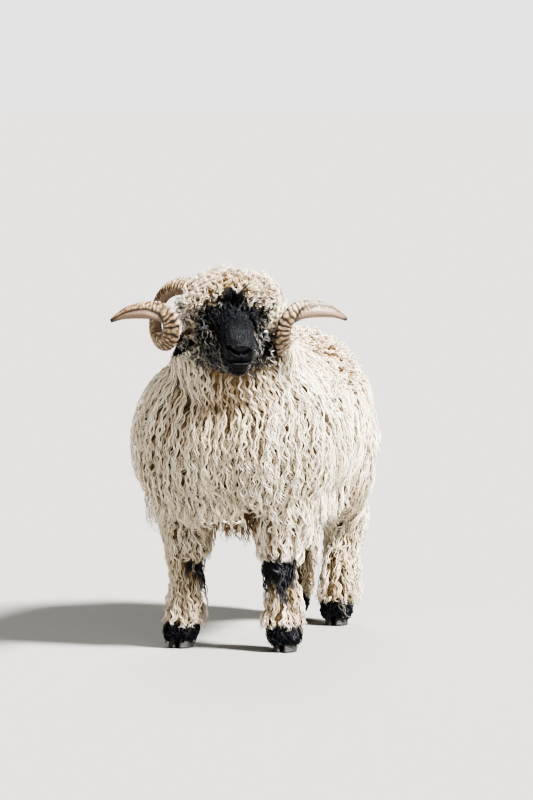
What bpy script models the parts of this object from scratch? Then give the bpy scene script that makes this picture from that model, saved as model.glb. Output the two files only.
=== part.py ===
"""Valais blacknose ram, life size, standing with its head raised and turned to its left.

The ram faces -Y, its left side is +X, and it stands on z = 0. Lengths are in metres.
Each part of the body is a loft through oval sections. The lofts and the locks that grow
from them are joined whole, and the whole is then parted into nodes by thin cuts.
"""

import math
import random
from collections import namedtuple

import bmesh
import bpy
import numpy as np
from mathutils import Matrix, Vector
from mathutils.bvhtree import BVHTree

# Driving dimensions
GAP = 0.0003  # between neighbouring nodes
CORE_SHARE = 0.45  # how far the cores reach from the skin, 0, to the tips of the coat, 1
HEAD_YAW = math.radians(26.0)  # the head's turn to the ram's left
HEAD_PITCH = math.radians(13.0)  # the nose's drop below level
SKULL_BACK = Vector((0.041, -0.412, 0.840))  # the back of the skull, on the head's axis
FRONT_FOOT = Vector((0.140, -0.255, 0.0))  # the left one; the right one mirrors it
HIND_FEET = {"left": Vector((0.100, 0.320, 0.0)), "right": Vector((-0.060, 0.440, 0.0))}
FRONT_LEG_TOP = 0.360  # height of the cut between a front leg and the torso
HIND_LEG_TOP = 0.375
TAIL_PLANE_Y = 0.492  # the cut between the rump and the tail
EYE_RADIUS = 0.0135
EYE_PLACE = (0.088, 0.0500, 0.031)  # along, across and above the head's axis
CORONET_HEIGHT = 0.036  # height of a claw at its front
CLAW_LENGTH = 0.058
CLAW_WIDTH = 0.027
CLEFT = 0.005  # between the two claws of a foot
EAR_LENGTH = 0.125
EAR_WIDTH = 0.052
EAR_THICKNESS = 0.005
EAR_SPREAD = {"left": 0.44, "right": 0.52}  # how far each ear stands out as it hangs
HORN_RINGS = 48
HORN_SIDES = 8
HORN_RIDGES = 13
HORN_RIDGE_HEIGHT = 0.0022

Section = namedtuple("Section", "at wide up down coat")

# Sections of the bare body: centre, half width, reach on the upper and the lower side of
# the line, and the depth of the coat there.
TORSO = [
    Section((0, -0.375, 0.500), 0.060, 0.060, 0.060, 0.040),
    Section((0, -0.345, 0.505), 0.130, 0.125, 0.120, 0.062),
    Section((0, -0.285, 0.515), 0.195, 0.175, 0.125, 0.074),
    Section((0, -0.200, 0.525), 0.208, 0.205, 0.130, 0.068),
    Section((0, -0.060, 0.530), 0.200, 0.212, 0.134, 0.060),
    Section((0, 0.090, 0.535), 0.195, 0.214, 0.138, 0.054),
    Section((0, 0.240, 0.540), 0.180, 0.221, 0.130, 0.048),
    Section((0, 0.350, 0.555), 0.158, 0.203, 0.125, 0.045),
    Section((0, 0.425, 0.570), 0.120, 0.155, 0.115, 0.042),
    Section((0, 0.465, 0.585), 0.070, 0.085, 0.080, 0.030),
]
NECK = [
    Section((0.000, -0.130, 0.600), 0.155, 0.135, 0.130, 0.050),
    Section((0.003, -0.210, 0.665), 0.132, 0.118, 0.132, 0.068),
    Section((0.018, -0.290, 0.735), 0.104, 0.094, 0.110, 0.064),
    Section((0.036, -0.355, 0.800), 0.084, 0.078, 0.088, 0.058),
    Section((0.052, -0.405, 0.845), 0.068, 0.064, 0.072, 0.048),
]
# The head's sections stand at distances along its axis.
HEAD = [
    Section(-0.020, 0.040, 0.040, 0.040, 0.020),
    Section(0.020, 0.058, 0.064, 0.070, 0.020),
    Section(0.060, 0.062, 0.070, 0.085, 0.012),
    Section(0.095, 0.055, 0.058, 0.087, 0.008),
    Section(0.130, 0.048, 0.047, 0.082, 0.006),
    Section(0.165, 0.043, 0.040, 0.070, 0.004),
    Section(0.200, 0.038, 0.034, 0.060, 0.002),
    Section(0.230, 0.036, 0.027, 0.050, 0.002),
    Section(0.248, 0.029, 0.015, 0.040, 0.001),
]
# A left front leg; y is measured back from the foot. Up is the back of the leg.
FRONT_LEG = [
    Section((0.112, 0.035, 0.520), 0.052, 0.075, 0.055, 0.020),
    Section((0.126, 0.030, 0.430), 0.056, 0.065, 0.052, 0.040),
    Section((0.131, 0.022, 0.340), 0.047, 0.050, 0.044, 0.042),
    Section((0.126, 0.012, 0.270), 0.036, 0.036, 0.036, 0.032),
    Section((0.123, 0.006, 0.212), 0.034, 0.030, 0.034, 0.018),
    Section((0.126, 0.012, 0.165), 0.024, 0.026, 0.022, 0.033),
    Section((0.128, 0.015, 0.110), 0.023, 0.025, 0.021, 0.037),
    Section((0.132, 0.010, 0.072), 0.028, 0.030, 0.026, 0.027),
    Section((0.139, 0.002, 0.045), 0.029, 0.028, 0.030, 0.020),
    Section((0.140, -0.002, 0.026), 0.030, 0.026, 0.030, 0.012),
]
# A left hind leg; its upper sections hang from the hip, and its lower ones, from the
# hock down, follow the foot.
HIP = [
    Section((0.090, 0.310, 0.610), 0.070, 0.085, 0.100, 0.020),
    Section((0.115, 0.290, 0.510), 0.068, 0.100, 0.105, 0.040),
    Section((0.120, 0.292, 0.420), 0.058, 0.080, 0.085, 0.040),
]
HIND_SHANK = [
    Section((0, 0.045, 0.320), 0.040, 0.050, 0.044, 0.036),
    Section((0, 0.068, 0.240), 0.031, 0.036, 0.030, 0.024),
    Section((0, 0.052, 0.175), 0.024, 0.027, 0.022, 0.038),
    Section((0, 0.030, 0.115), 0.023, 0.025, 0.021, 0.040),
    Section((0, 0.012, 0.073), 0.028, 0.030, 0.026, 0.026),
    Section((0, 0.002, 0.045), 0.029, 0.028, 0.030, 0.018),
    Section((0, -0.002, 0.026), 0.030, 0.026, 0.030, 0.012),
]
TAIL = [
    Section((0.000, 0.400, 0.690), 0.030, 0.026, 0.026, 0.010),
    Section((0.000, 0.468, 0.672), 0.028, 0.022, 0.026, 0.026),
    Section((0.002, 0.505, 0.615), 0.022, 0.017, 0.017, 0.030),
    Section((0.004, 0.512, 0.535), 0.017, 0.013, 0.013, 0.034),
    Section((0.006, 0.512, 0.460), 0.012, 0.010, 0.010, 0.032),
    Section((0.006, 0.510, 0.415), 0.007, 0.006, 0.006, 0.022),
]
# The centre line of a horn from its root to its tip: out from the middle of the head,
# forward, and up from the horn's seat. Its curl and its tip are moved out side by side.
HORN_LINE = [
    (0.030, 0.000, -0.012),
    (0.060, -0.020, 0.034),
    (0.100, -0.052, 0.055),
    (0.134, -0.086, 0.042),
    (0.152, -0.106, 0.008),
    (0.158, -0.108, -0.034),
    (0.159, -0.088, -0.070),
    (0.156, -0.052, -0.092),
    (0.149, -0.010, -0.092),
    (0.144, 0.022, -0.066),
    (0.148, 0.036, -0.032),
    (0.166, 0.036, -0.010),
    (0.196, 0.029, -0.003),
    (0.230, 0.018, -0.004),
    (0.264, 0.006, -0.012),
    (0.296, -0.006, -0.029),
]
# Where each horn departs from that line: the share of its length, over what share, and
# how far outwards and upwards
HORN_BENDS = {
    "left": ((0.36, 0.16, -0.008, 0.0), (0.62, 0.10, -0.006, 0.0)),
    "right": ((0.36, 0.16, 0.009, 0.0), (0.50, 0.12, 0.0, 0.015)),
}
HORN_TIP_OUT = {"left": 0.008, "right": -0.008}
HORN_SEAT = Vector((0.050, -0.452, 0.879))
HORN_HALF_WIDTHS = (
    0.024, 0.025, 0.024, 0.022, 0.0215, 0.0215, 0.022, 0.0225, 0.0225, 0.0215, 0.016, 0.005,
)
HORN_THICKNESS_SHARE = 0.66  # of the width
# Shares of the horn's length, and how far its section has turned there, in degrees
HORN_TWIST = ((0.0, 0.38, 0.60, 0.68, 0.82, 1.0), (0.0, 0.0, -37.0, -45.0, -105.0, -112.0))

# Forms of the coat: how far apart their roots are, their length, half width and half
# thickness, how far they stand off the core, and how much they hang rather than follow it
Form = namedtuple("Form", "spacing length wide thick lift hang")
BACK_CLUMP = Form(0.117, 0.0, 0.064, 0.037, 0.0, 0.0)
TOPKNOT_CLUMP = Form(0.078, 0.0, 0.047, 0.036, 0.0, 0.0)
FLANK_LOCK = Form(0.134, 0.175, 0.055, 0.013, 0.046, 0.26)
CHEST_LOCK = Form(0.116, 0.175, 0.049, 0.013, 0.054, 0.30)
BELLY_LOCK = Form(0.160, 0.085, 0.052, 0.012, 0.024, 0.80)
NECK_LOCK = Form(0.124, 0.165, 0.053, 0.013, 0.048, 0.24)
LEG_LOCK = Form(0.093, 0.116, 0.038, 0.010, 0.024, 0.16)
CHEEK_LOCK = Form(0.068, 0.064, 0.023, 0.008, 0.020, 0.50)
TAIL_LOCK = Form(0.100, 0.125, 0.034, 0.009, 0.022, 0.30)
CLUMP_SIDES = 5
LOCK_SINK = 0.014  # how deep a root goes
LOCK_SWAY = 0.20  # of a lock's length, sideways
LOWEST_TIP = 0.022
BURIED = 0.013  # a root further than this from the joined cores is inside one of them
TOPKNOT_CLUMPS = 24
GOLDEN_ANGLE = math.pi * (3 - math.sqrt(5))
BACK_SLOPE = 0.42  # the fleece is curly where the back rises less steeply than this
UNDERSIDE = -0.62  # the belly's short locks grow where the body faces down more than this
CHEST_Y = -0.265  # the chest's long locks grow in front of this
SEED = 31

# Colours, linear
IVORY = (0.70, 0.64, 0.54)
BLACK = (0.012, 0.011, 0.013)
HORN = (0.46, 0.34, 0.24)
HOOF = (0.16, 0.14, 0.13)
EYE = (0.10, 0.05, 0.015)


def head_axes():
    """The head's forward, left and upward directions."""
    level = Vector((math.sin(HEAD_YAW), -math.cos(HEAD_YAW), 0))
    left = Vector((math.cos(HEAD_YAW), math.sin(HEAD_YAW), 0))
    forward = level * math.cos(HEAD_PITCH) - Vector((0, 0, math.sin(HEAD_PITCH)))
    return forward, left, left.cross(forward) * -1


FORWARD, LEFT, UPWARD = head_axes()


def on_head(along, across, above):
    """A point given along, to the left of and above the head's axis."""
    return SKULL_BACK + FORWARD * along + LEFT * across + UPWARD * above


def smooth(values, t):
    """The value at t, from 0 to 1, on a smooth curve through evenly spaced values."""
    place = min(max(t, 0.0), 1.0) * (len(values) - 1)
    i = min(int(place), len(values) - 2)
    f = place - i
    near = (min(max(k, 0), len(values) - 1) for k in range(i - 1, i + 3))
    a, b, c, d = (np.array(values[k], float) for k in near)
    return b + 0.5 * f * (c - a + f * (2 * a - 5 * b + 4 * c - d + f * (3 * (b - c) + d - a)))


def closed_mesh(name, rings):
    """A closed mesh through rings of points. A ring of one point is a pole."""
    bm = bmesh.new()
    rows = [[bm.verts.new(p) for p in ring] for ring in rings]
    for low, high in zip(rows, rows[1:]):
        n = max(len(low), len(high))
        for j in range(n):
            k = (j + 1) % n
            corners = [low[j % len(low)], low[k % len(low)], high[k % len(high)], high[j % len(high)]]
            bm.faces.new(list(dict.fromkeys(corners)))
    for end in (rows[0], rows[-1]):
        if len(end) > 2:
            bm.faces.new(end)
    return finished(bm, name)


def finished(bm, name):
    """The mesh of a closed form, in triangles whose faces point out."""
    bmesh.ops.triangulate(bm, faces=bm.faces)
    bmesh.ops.recalc_face_normals(bm, faces=bm.faces)
    if bm.calc_volume(signed=True) < 0:
        bmesh.ops.reverse_faces(bm, faces=bm.faces)
    mesh = bpy.data.meshes.new(name)
    bm.to_mesh(mesh)
    bm.free()
    return mesh


def add_object(name, mesh, collection):
    """An object of this mesh in a collection."""
    made = bpy.data.objects.new(name, mesh)
    collection.objects.link(made)
    return made


class Loft:
    """A closed form through oval sections along a bent line."""

    def __init__(self, sections, side, share=CORE_SHARE, squareness=(2.0, 2.0)):
        self.centres = [s.at for s in sections]
        self.sizes = [(s.wide, s.up, s.down, s.coat) for s in sections]
        self.side = Vector(side)
        self.share = share
        self.squareness = squareness

    def frame(self, t):
        """The centre, the side and up directions, and the line's direction at t."""
        step = 0.01
        centre = Vector(smooth(self.centres, t))
        ahead = Vector(smooth(self.centres, t + step)) - Vector(smooth(self.centres, t - step))
        ahead.normalize()
        side = (self.side - ahead * self.side.dot(ahead)).normalized()
        return centre, side, side.cross(ahead), ahead

    def ring(self, t, sides):
        """The points of the section at t."""
        centre, side, up, ahead = self.frame(t)
        wide, high, low, coat = smooth(self.sizes, t)
        more = coat * self.share
        if t in (0.0, 1.0):
            centre += ahead * more * (1 if t else -1)
            more = 0
        points = []
        for j in range(sides):
            angle = math.tau * j / sides
            power = 2 / self.squareness[math.sin(angle) < 0]
            x, y = (math.copysign(abs(v) ** power, v) for v in (math.cos(angle), math.sin(angle)))
            reach = high if y > 0 else low
            points.append(centre + side * x * (wide + more) + up * y * (reach + more))
        return points

    def mesh(self, name, rings, sides):
        """The loft as a closed mesh."""
        return closed_mesh(name, [self.ring(i / (rings - 1), sides) for i in range(rings)])


def mirrored(sections, foot, sign):
    """A leg's sections for one side, set at its foot."""
    return [s._replace(at=(s.at[0] * sign, s.at[1] + foot.y, s.at[2])) for s in sections]


def hind_leg(side):
    """A hind leg's sections, from the hip to this side's foot."""
    sign = 1 if side == "left" else -1
    foot = HIND_FEET[side]
    hip = [s._replace(at=(s.at[0] * sign, s.at[1], s.at[2])) for s in HIP]
    return hip + [s._replace(at=(foot.x, s.at[1] + foot.y, s.at[2])) for s in HIND_SHANK]


def ellipsoid(name, centre, axes, radii, detail=2):
    """A closed ball stretched along three axes."""
    bm = bmesh.new()
    bmesh.ops.create_icosphere(bm, subdivisions=detail, radius=1)
    stretch = Matrix([axis * r for axis, r in zip(axes, radii)]).transposed().to_4x4()
    stretch.translation = centre
    bmesh.ops.transform(bm, matrix=stretch, verts=bm.verts)
    return finished(bm, name)


def body_lofts():
    """The lofts of the body's cores, by name."""
    head = [h._replace(at=tuple(on_head(h.at, 0, 0))) for h in HEAD]
    made = {
        "torso": Loft(TORSO, (1, 0, 0), squareness=(2.05, 2.6)),
        "neck": Loft(NECK, -LEFT.lerp(Vector((1, 0, 0)), 0.5)),
        "head": Loft(head, -LEFT, squareness=(2.2, 2.2)),
        "tail": Loft(TAIL, (1, 0, 0)),
    }
    for side, sign in (("left", 1), ("right", -1)):
        made[f"front_{side}"] = Loft(mirrored(FRONT_LEG, FRONT_FOOT, sign), (1, 0, 0))
        made[f"hind_{side}"] = Loft(hind_leg(side), (1, 0, 0))
    return made


def topknot(grown=0.0):
    """The core of the wool on the crown, or the form out to its tips."""
    radii = (0.050 + grown, 0.104 + grown, 0.076 + grown)
    return ellipsoid("topknot", on_head(0.014, 0.007, 0.048), (FORWARD, LEFT, UPWARD), radii)


def cheek_wool():
    """The core of the wool behind the cheeks."""
    radii = (0.055, 0.080, 0.068)
    return ellipsoid("cheek_wool", on_head(0.030, 0, -0.015), (FORWARD, LEFT, UPWARD), radii)


def spots(loft, spacing, draw, first=0.0, last=1.0):
    """Roots in staggered rows round a loft, each a point and the way out."""
    steps = [first + (last - first) * i / 40 for i in range(41)]
    rings = [loft.ring(t, 12) for t in steps]
    run = [sum((b - a).length for a, b in zip(low, high)) / 12 for low, high in zip(rings, rings[1:])]
    run = np.cumsum([0.0] + run)
    rows = max(1, round(run[-1] / (spacing * 0.87)))
    for row in range(rows):
        t = float(np.interp((row + 0.5) / rows * run[-1], run, steps))
        ring = loft.ring(t, 48)
        centre = loft.frame(t)[0]
        sides = [(b - a).length for a, b in zip(ring, ring[1:] + ring[:1])]
        reach = np.cumsum([0.0] + sides)
        count = max(3, round(reach[-1] / spacing))
        for k in range(count):
            at = (k + 0.5 * (row % 2) + draw.uniform(-0.15, 0.15)) / count % 1.0 * reach[-1]
            j = min(int(np.searchsorted(reach, at, "right")) - 1, 47)
            yield ring[j].lerp(ring[(j + 1) % 48], (at - reach[j]) / sides[j]), ring[j] - centre


def lock(tree, root, flow, form, draw):
    """A flat, tapered lock that leaves its root, bends along the coat's lie and hangs."""
    size = draw.uniform(0.85, 1.15)
    step = form.length * size / 3
    sway = draw.choice((-1, 1)) * LOCK_SWAY * step * draw.uniform(0.6, 1.2)
    place, normal, _, _ = tree.find_nearest(root)
    along = (flow - normal * flow.dot(normal)).normalized()
    rings = []
    at = place - normal * LOCK_SINK - along * step * 0.3
    for k, (share, lift) in enumerate(((0.70, 0.0), (1.0, 0.42), (0.72, 0.80), (0.0, 1.0))):
        if k:
            ahead = (along * (1 - form.hang) + Vector((0, 0, -form.hang))).normalized()
            at = at + ahead * step + ahead.cross(normal) * sway * (-1) ** k
            place, normal, _, _ = tree.find_nearest(at)
            short = form.lift * lift * size - (at - place).dot(normal)
            if short > 0 or (at - place).length > 3 * form.lift:
                at = at + normal * short
            along = (along - normal * along.dot(normal)).normalized()
        across = along.cross(normal).normalized()
        if share:
            wide, thick = across * form.wide * share, normal * form.thick * share
            rings.append([at + wide - thick * 0.4, at + thick * 1.3, at - wide - thick * 0.4])
        else:
            rings.append([at])
    return closed_mesh("lock", rings), rings[-1][0]


def clump(root, out, form, draw):
    """A rounded tuft of curls."""
    size = draw.uniform(0.85, 1.15)
    out = (out.normalized() + Vector(draw.uniform(-0.15, 0.15) for _ in range(3))).normalized()
    side = out.orthogonal().normalized()
    other = out.cross(side)
    start = draw.uniform(0, math.tau)
    rings = []
    for share, height in ((0.80, -0.5), (1.0, 0.42)):
        angles = [start + math.tau * (j + 0.5 * height) / CLUMP_SIDES for j in range(CLUMP_SIDES)]
        rings.append([root + (side * math.cos(a) + other * math.sin(a)) * form.wide * size * share
                      * draw.uniform(0.9, 1.1) + out * form.thick * height * size for a in angles])
    rings.append([root + out * form.thick * size])
    return closed_mesh("clump", rings)


def grow_coat(tree, lofts):
    """Every lock and clump, as meshes, each rooted on the joined cores."""
    draw = random.Random(SEED)
    down = Vector((0, 0, -1))
    made = []

    def on_surface(point):
        return (tree.find_nearest(point)[0] - point).length < BURIED

    def hang(name, form, first, last, flow, allowed):
        for point, out in spots(lofts[name], form.spacing, draw, first, last):
            if on_surface(point) and allowed(point, out.normalized()):
                mesh, tip = lock(tree, point, flow(point, out.normalized()), form, draw)
                if tip.z > LOWEST_TIP:
                    made.append(mesh)

    for point, out in spots(lofts["torso"], BACK_CLUMP.spacing, draw, 0.05, 0.97):
        if out.normalized().z > BACK_SLOPE and on_surface(point):
            made.append(clump(point, out, BACK_CLUMP, draw))
    hang("torso", FLANK_LOCK, 0.0, 1.0, lambda p, n: down + Vector((0, 0.25, 0)),
         lambda p, n: p.y > CHEST_Y and UNDERSIDE < n.z <= BACK_SLOPE)
    hang("torso", BELLY_LOCK, 0.0, 1.0, lambda p, n: down + Vector((0, 0.5, 0)),
         lambda p, n: n.z <= UNDERSIDE)
    hang("torso", CHEST_LOCK, 0.0, 0.4, lambda p, n: down + Vector((n.x * 0.2, 0.1, 0)),
         lambda p, n: p.y <= CHEST_Y and n.z > UNDERSIDE)
    hang("neck", NECK_LOCK, 0.3, 1.0, lambda p, n: down + Vector((n.x * 0.5, 0.3, 0)),
         lambda p, n: True)
    for name in ("front_left", "front_right", "hind_left", "hind_right"):
        hang(name, LEG_LOCK, 0.28, 0.9, lambda p, n: down + n * 0.15, lambda p, n: True)
    hang("tail", TAIL_LOCK, 0.2, 0.9, lambda p, n: down, lambda p, n: True)
    hang("head", CHEEK_LOCK, 0.10, 0.62, lambda p, n: down - FORWARD * 0.3,
         lambda p, n: UPWARD.dot(n) < -0.1)
    crown = on_head(0.014, 0.007, 0.048)
    for i in range(TOPKNOT_CLUMPS):
        rise = 1 - 1.35 * (i + 0.5) / TOPKNOT_CLUMPS
        turn = i * GOLDEN_ANGLE
        flat = math.sqrt(1 - rise * rise)
        way = FORWARD * 0.050 * flat * math.cos(turn) + LEFT * 0.104 * flat * math.sin(turn)
        point = crown + way + UPWARD * 0.076 * rise
        place, normal, _, _ = tree.find_nearest(point)
        if (place - point).length < 0.01:
            made.append(clump(place, normal, TOPKNOT_CLUMP, draw))
    return made


def horn_frame(side):
    """The horn's outward, forward and upward directions for one side."""
    sign = 1 if side == "left" else -1
    level = Vector((math.sin(HEAD_YAW), -math.cos(HEAD_YAW), 0))
    return LEFT * sign, level, Vector((0, 0, 1))


def horn_rings(side, grown=0.0, rings=HORN_RINGS, ridged=True):
    """The sections of a horn: three-sided with round edges, and ridged across."""
    out, level, up = horn_frame(side)
    line = []
    for i, (a, b, c) in enumerate(HORN_LINE):
        t = i / (len(HORN_LINE) - 1)
        for place, width, outward, upward in HORN_BENDS[side]:
            share = math.exp(-(((t - place) / width) ** 2))
            a += outward * share
            c += upward * share
        a += HORN_TIP_OUT[side] * max(0.0, 2 * t - 1)
        line.append(HORN_SEAT + out * a + level * b + up * c)
    made = []
    across = None
    for i in range(rings):
        t = i / (rings - 1)
        step = 0.01
        ahead = (Vector(smooth(line, t + step)) - Vector(smooth(line, t - step))).normalized()
        across = out if across is None else across
        across = (across - ahead * across.dot(ahead)).normalized()
        flat = ahead.cross(across) * (1 if side == "left" else -1)
        turn = math.radians(float(np.interp(t, *HORN_TWIST)))
        wide_way = across * math.cos(turn) + flat * math.sin(turn)
        thick_way = flat * math.cos(turn) - across * math.sin(turn)
        half = float(smooth([(w,) for w in HORN_HALF_WIDTHS], t)[0])
        wave = math.cos(math.tau * HORN_RIDGES * t * (1.35 - 0.35 * t))
        ridge = HORN_RIDGE_HEIGHT * (1 - t) ** 0.5 * wave
        half += (ridge if ridged else HORN_RIDGE_HEIGHT) + grown
        thick = half * HORN_THICKNESS_SHARE + grown
        centre = Vector(smooth(line, t)) + ahead * grown * {0: -1, rings - 1: 1}.get(i, 0)
        points = []
        for j in range(HORN_SIDES):
            angle = math.tau * j / HORN_SIDES
            keel = 1 - 0.12 * math.cos(3 * angle)
            reach = wide_way * half * math.cos(angle) + thick_way * thick * math.sin(angle)
            points.append(centre + reach * keel)
        made.append(points)
    return made


def eye_centre(sign):
    """The middle of the eye on one side."""
    along, across, above = EYE_PLACE
    return on_head(along, across * sign, above)


def ball(name, centre, radius, segments=12, rings=8):
    """A UV sphere."""
    bm = bmesh.new()
    bmesh.ops.create_uvsphere(bm, u_segments=segments, v_segments=rings, radius=radius)
    bmesh.ops.translate(bm, vec=centre, verts=bm.verts)
    return finished(bm, name)


def box_mesh(name, low, high, matrix=None):
    """A closed box between two corners, turned by a matrix."""
    bm = bmesh.new()
    bmesh.ops.create_cube(bm, size=1)
    size = Vector(high) - Vector(low)
    bmesh.ops.scale(bm, vec=size, verts=bm.verts)
    bmesh.ops.translate(bm, vec=(Vector(low) + Vector(high)) / 2, verts=bm.verts)
    if matrix is not None:
        bmesh.ops.transform(bm, matrix=matrix, verts=bm.verts)
    return finished(bm, name)


def slab_beyond(name, point, direction, reach=1.2, gap=0.0):
    """A box that fills the space beyond a plane, whose side towards it is moved by gap."""
    turn = Vector(direction).to_track_quat("Z", "Y").to_matrix().to_4x4()
    turn.translation = Vector(point)
    return box_mesh(name, (-reach, -reach, -gap), (reach, reach, reach), turn)


def boolean(body, operation, others, collection):
    """The body joined to, cut by or kept within other meshes, as a new mesh."""
    for i, other in enumerate(others):
        add_object(f"{body.name}_{i}", other, collection)
    modifier = body.modifiers.new(operation.lower(), "BOOLEAN")
    modifier.operation = operation
    modifier.operand_type = "COLLECTION"
    modifier.collection = collection
    modifier.solver = "MANIFOLD"
    graph = bpy.context.evaluated_depsgraph_get()
    made = bpy.data.meshes.new_from_object(body.evaluated_get(graph))
    body.modifiers.remove(modifier)
    for other in list(collection.objects):
        bpy.data.objects.remove(other)
    return made


def islands(bm):
    """The separate closed surfaces of a mesh, each a list of faces."""
    left, found = set(bm.faces), []
    while left:
        queue = [left.pop()]
        surface = list(queue)
        while queue:
            for edge in queue.pop().edges:
                for face in edge.link_faces:
                    if face in left:
                        left.discard(face)
                        queue.append(face)
                        surface.append(face)
        found.append(surface)
    return found


def volume_of(faces):
    """Six times the volume that a closed surface holds."""
    return sum(f.verts[0].co.dot(f.verts[1].co.cross(f.verts[2].co)) for f in faces)


def keep_largest(mesh):
    """Drops all but the largest closed surface, and so fills what fusing has sealed."""
    bm = bmesh.new()
    bm.from_mesh(mesh)
    bmesh.ops.triangulate(bm, faces=bm.faces)
    surfaces = sorted(islands(bm), key=volume_of)
    for surface in surfaces[:-1]:
        bmesh.ops.delete(bm, geom=surface, context="FACES")
    bm.to_mesh(mesh)
    bm.free()
    return mesh


def claw_rings(foot, sign, grown=0.0):
    """A claw: its outline narrows to the toe, and its top slopes back."""
    near, far = CLEFT / 2, CLEFT / 2 + CLAW_WIDTH
    outline = [(near, 0.020), (near, -0.024), (near + 0.004, -0.034), (near + 0.012, -0.033),
               (far - 0.003, -0.018), (far, 0.002), (far - 0.003, 0.018), (near + 0.010, 0.024)]
    middle = Vector((near + CLAW_WIDTH / 2, 0))
    made = []
    for level, spread in ((0.0, 1.0), (0.5, 0.93), (1.0, 0.84)):
        ring = []
        for x, y in outline:
            reach = Vector((x, y)) - middle
            x, y = middle + reach * spread + reach.normalized() * grown
            front = CORONET_HEIGHT - 0.012 * (y + 0.034) / CLAW_LENGTH
            z = level * (front + grown) - (grown if level == 0 else 0)
            ring.append(Vector((foot.x + x * sign, foot.y + y + 0.004 * level, z)))
        made.append(ring)
    return made


def feet():
    """Where each foot stands, by name."""
    right = Vector((-FRONT_FOOT.x, FRONT_FOOT.y, 0))
    return {
        "front_left": FRONT_FOOT,
        "front_right": right,
        "hind_left": HIND_FEET["left"],
        "hind_right": HIND_FEET["right"],
    }


def ear_rings(sign, grown=0.0, cupped=True):
    """An ear: crescent sections from a round root to a flat tip, hanging out and down."""
    root = on_head(0.020, 0.058 * sign, 0.010)
    out = LEFT * sign
    spread = EAR_SPREAD["left" if sign > 0 else "right"]
    along = (out * spread - Vector((0, 0, 0.70)) - FORWARD * 0.10).normalized()
    face = (out * 0.75 + FORWARD * 0.55 + Vector((0, 0, 0.45)))
    face = (face - along * face.dot(along)).normalized()
    across = along.cross(face)
    widths = (0.30, 0.62, 0.92, 1.0, 0.86, 0.52, 0.12)
    made = []
    for i, share in enumerate(widths):
        t = i / (len(widths) - 1)
        centre = root + along * (EAR_LENGTH * t + grown * (2 * t - 1)) + face * 0.012 * math.sin(math.pi * t)
        half = EAR_WIDTH / 2 * share + grown
        depth = half * (1.0 - 0.75 * t)
        thick = EAR_THICKNESS / 2 * (1 - 0.5 * t) + grown
        back = [(math.radians(a), depth + thick) for a in (-90, -45, 0, 45, 90)]
        front = [(math.radians(a), (depth - thick) if cupped else -thick) for a in (60, 0, -60)]
        ring = []
        for angle, deep in back + front:
            ring.append(centre + across * half * math.sin(angle) - face * deep * math.cos(angle))
        made.append(ring)
    return made


def eye_axes(sign):
    """The directions along the lids, across them and out of the eye."""
    outward = (LEFT * sign + FORWARD * 0.35 + UPWARD * 0.08).normalized()
    along = (FORWARD - outward * FORWARD.dot(outward)).normalized()
    return along, outward.cross(along), outward


def lid_opening(sign):
    """The almond that is cut open between the lids."""
    axes = eye_axes(sign)
    return ellipsoid("lid_opening", eye_centre(sign) + axes[2] * 0.012, axes, (0.0140, 0.0085, 0.012))


def eyelids(sign):
    """A ring of lid round the eye, longer than it is high."""
    centre = eye_centre(sign)
    along, high, outward = eye_axes(sign)
    rings = []
    steps, sides = 12, 5
    for i in range(steps):
        a = math.tau * i / steps
        hub = centre + outward * 0.0075 + along * 0.0165 * math.cos(a) + high * 0.0105 * math.sin(a)
        radial = (hub - centre).normalized()
        tube = []
        for j in range(sides):
            b = math.tau * j / sides
            tube.append(hub + radial * 0.0045 * math.cos(b) + outward * 0.0045 * math.sin(b))
        rings.append(tube)
    return torus_mesh("lid", rings)


def torus_mesh(name, rings):
    """A closed mesh through rings whose last joins the first."""
    bm = bmesh.new()
    rows = [[bm.verts.new(p) for p in ring] for ring in rings]
    n = len(rings[0])
    for low, high in zip(rows, rows[1:] + rows[:1]):
        for j in range(n):
            k = (j + 1) % n
            bm.faces.new([low[j], low[k], high[k], high[j]])
    return finished(bm, name)


def mouth_cutter():
    """A thin horseshoe that cuts the line of the mouth round the muzzle."""
    rings = []
    for i in range(11):
        a = math.radians(-112 + 224 * i / 10)
        lift = 0.008 * (abs(a) / math.radians(112)) ** 2
        level = -0.028 + lift
        outer = (0.190 + 0.075 * math.cos(a), 0.060 * math.sin(a))
        inner = (0.190 + 0.047 * math.cos(a), 0.031 * math.sin(a))
        rings.append([
            on_head(outer[0], outer[1], level + 0.0016), on_head(outer[0], outer[1], level - 0.0016),
            on_head(inner[0], inner[1], level - 0.0008), on_head(inner[0], inner[1], level + 0.0008),
        ])
    return closed_mesh("mouth", rings)


def nostril_cutter(sign):
    """A slanting comma that cuts one nostril."""
    middle = on_head(0.249, 0.0160 * sign, 0.002)
    slant = (LEFT * sign * 0.86 + UPWARD * 0.36 - FORWARD * 0.42).normalized()
    high = (UPWARD - slant * UPWARD.dot(slant)).normalized()
    return ellipsoid("nostril", middle, (slant, high, slant.cross(high)), (0.0125, 0.0040, 0.009), 2)


def materials():
    """A Principled material for each finish, by name."""
    made = {}
    for name, colour, roughness in (
        ("fleece", IVORY, 0.95), ("black_hair", BLACK, 0.8), ("horn", HORN, 0.55),
        ("hoof", HOOF, 0.6), ("eye", EYE, 0.12),
    ):
        material = bpy.data.materials.new(name)
        material.use_nodes = True
        shader = material.node_tree.nodes["Principled BSDF"]
        shader.inputs["Base Color"].default_value = (*colour, 1)
        shader.inputs["Roughness"].default_value = roughness
        shader.inputs["Metallic"].default_value = 0.0
        made[name] = material
    return made


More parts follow.
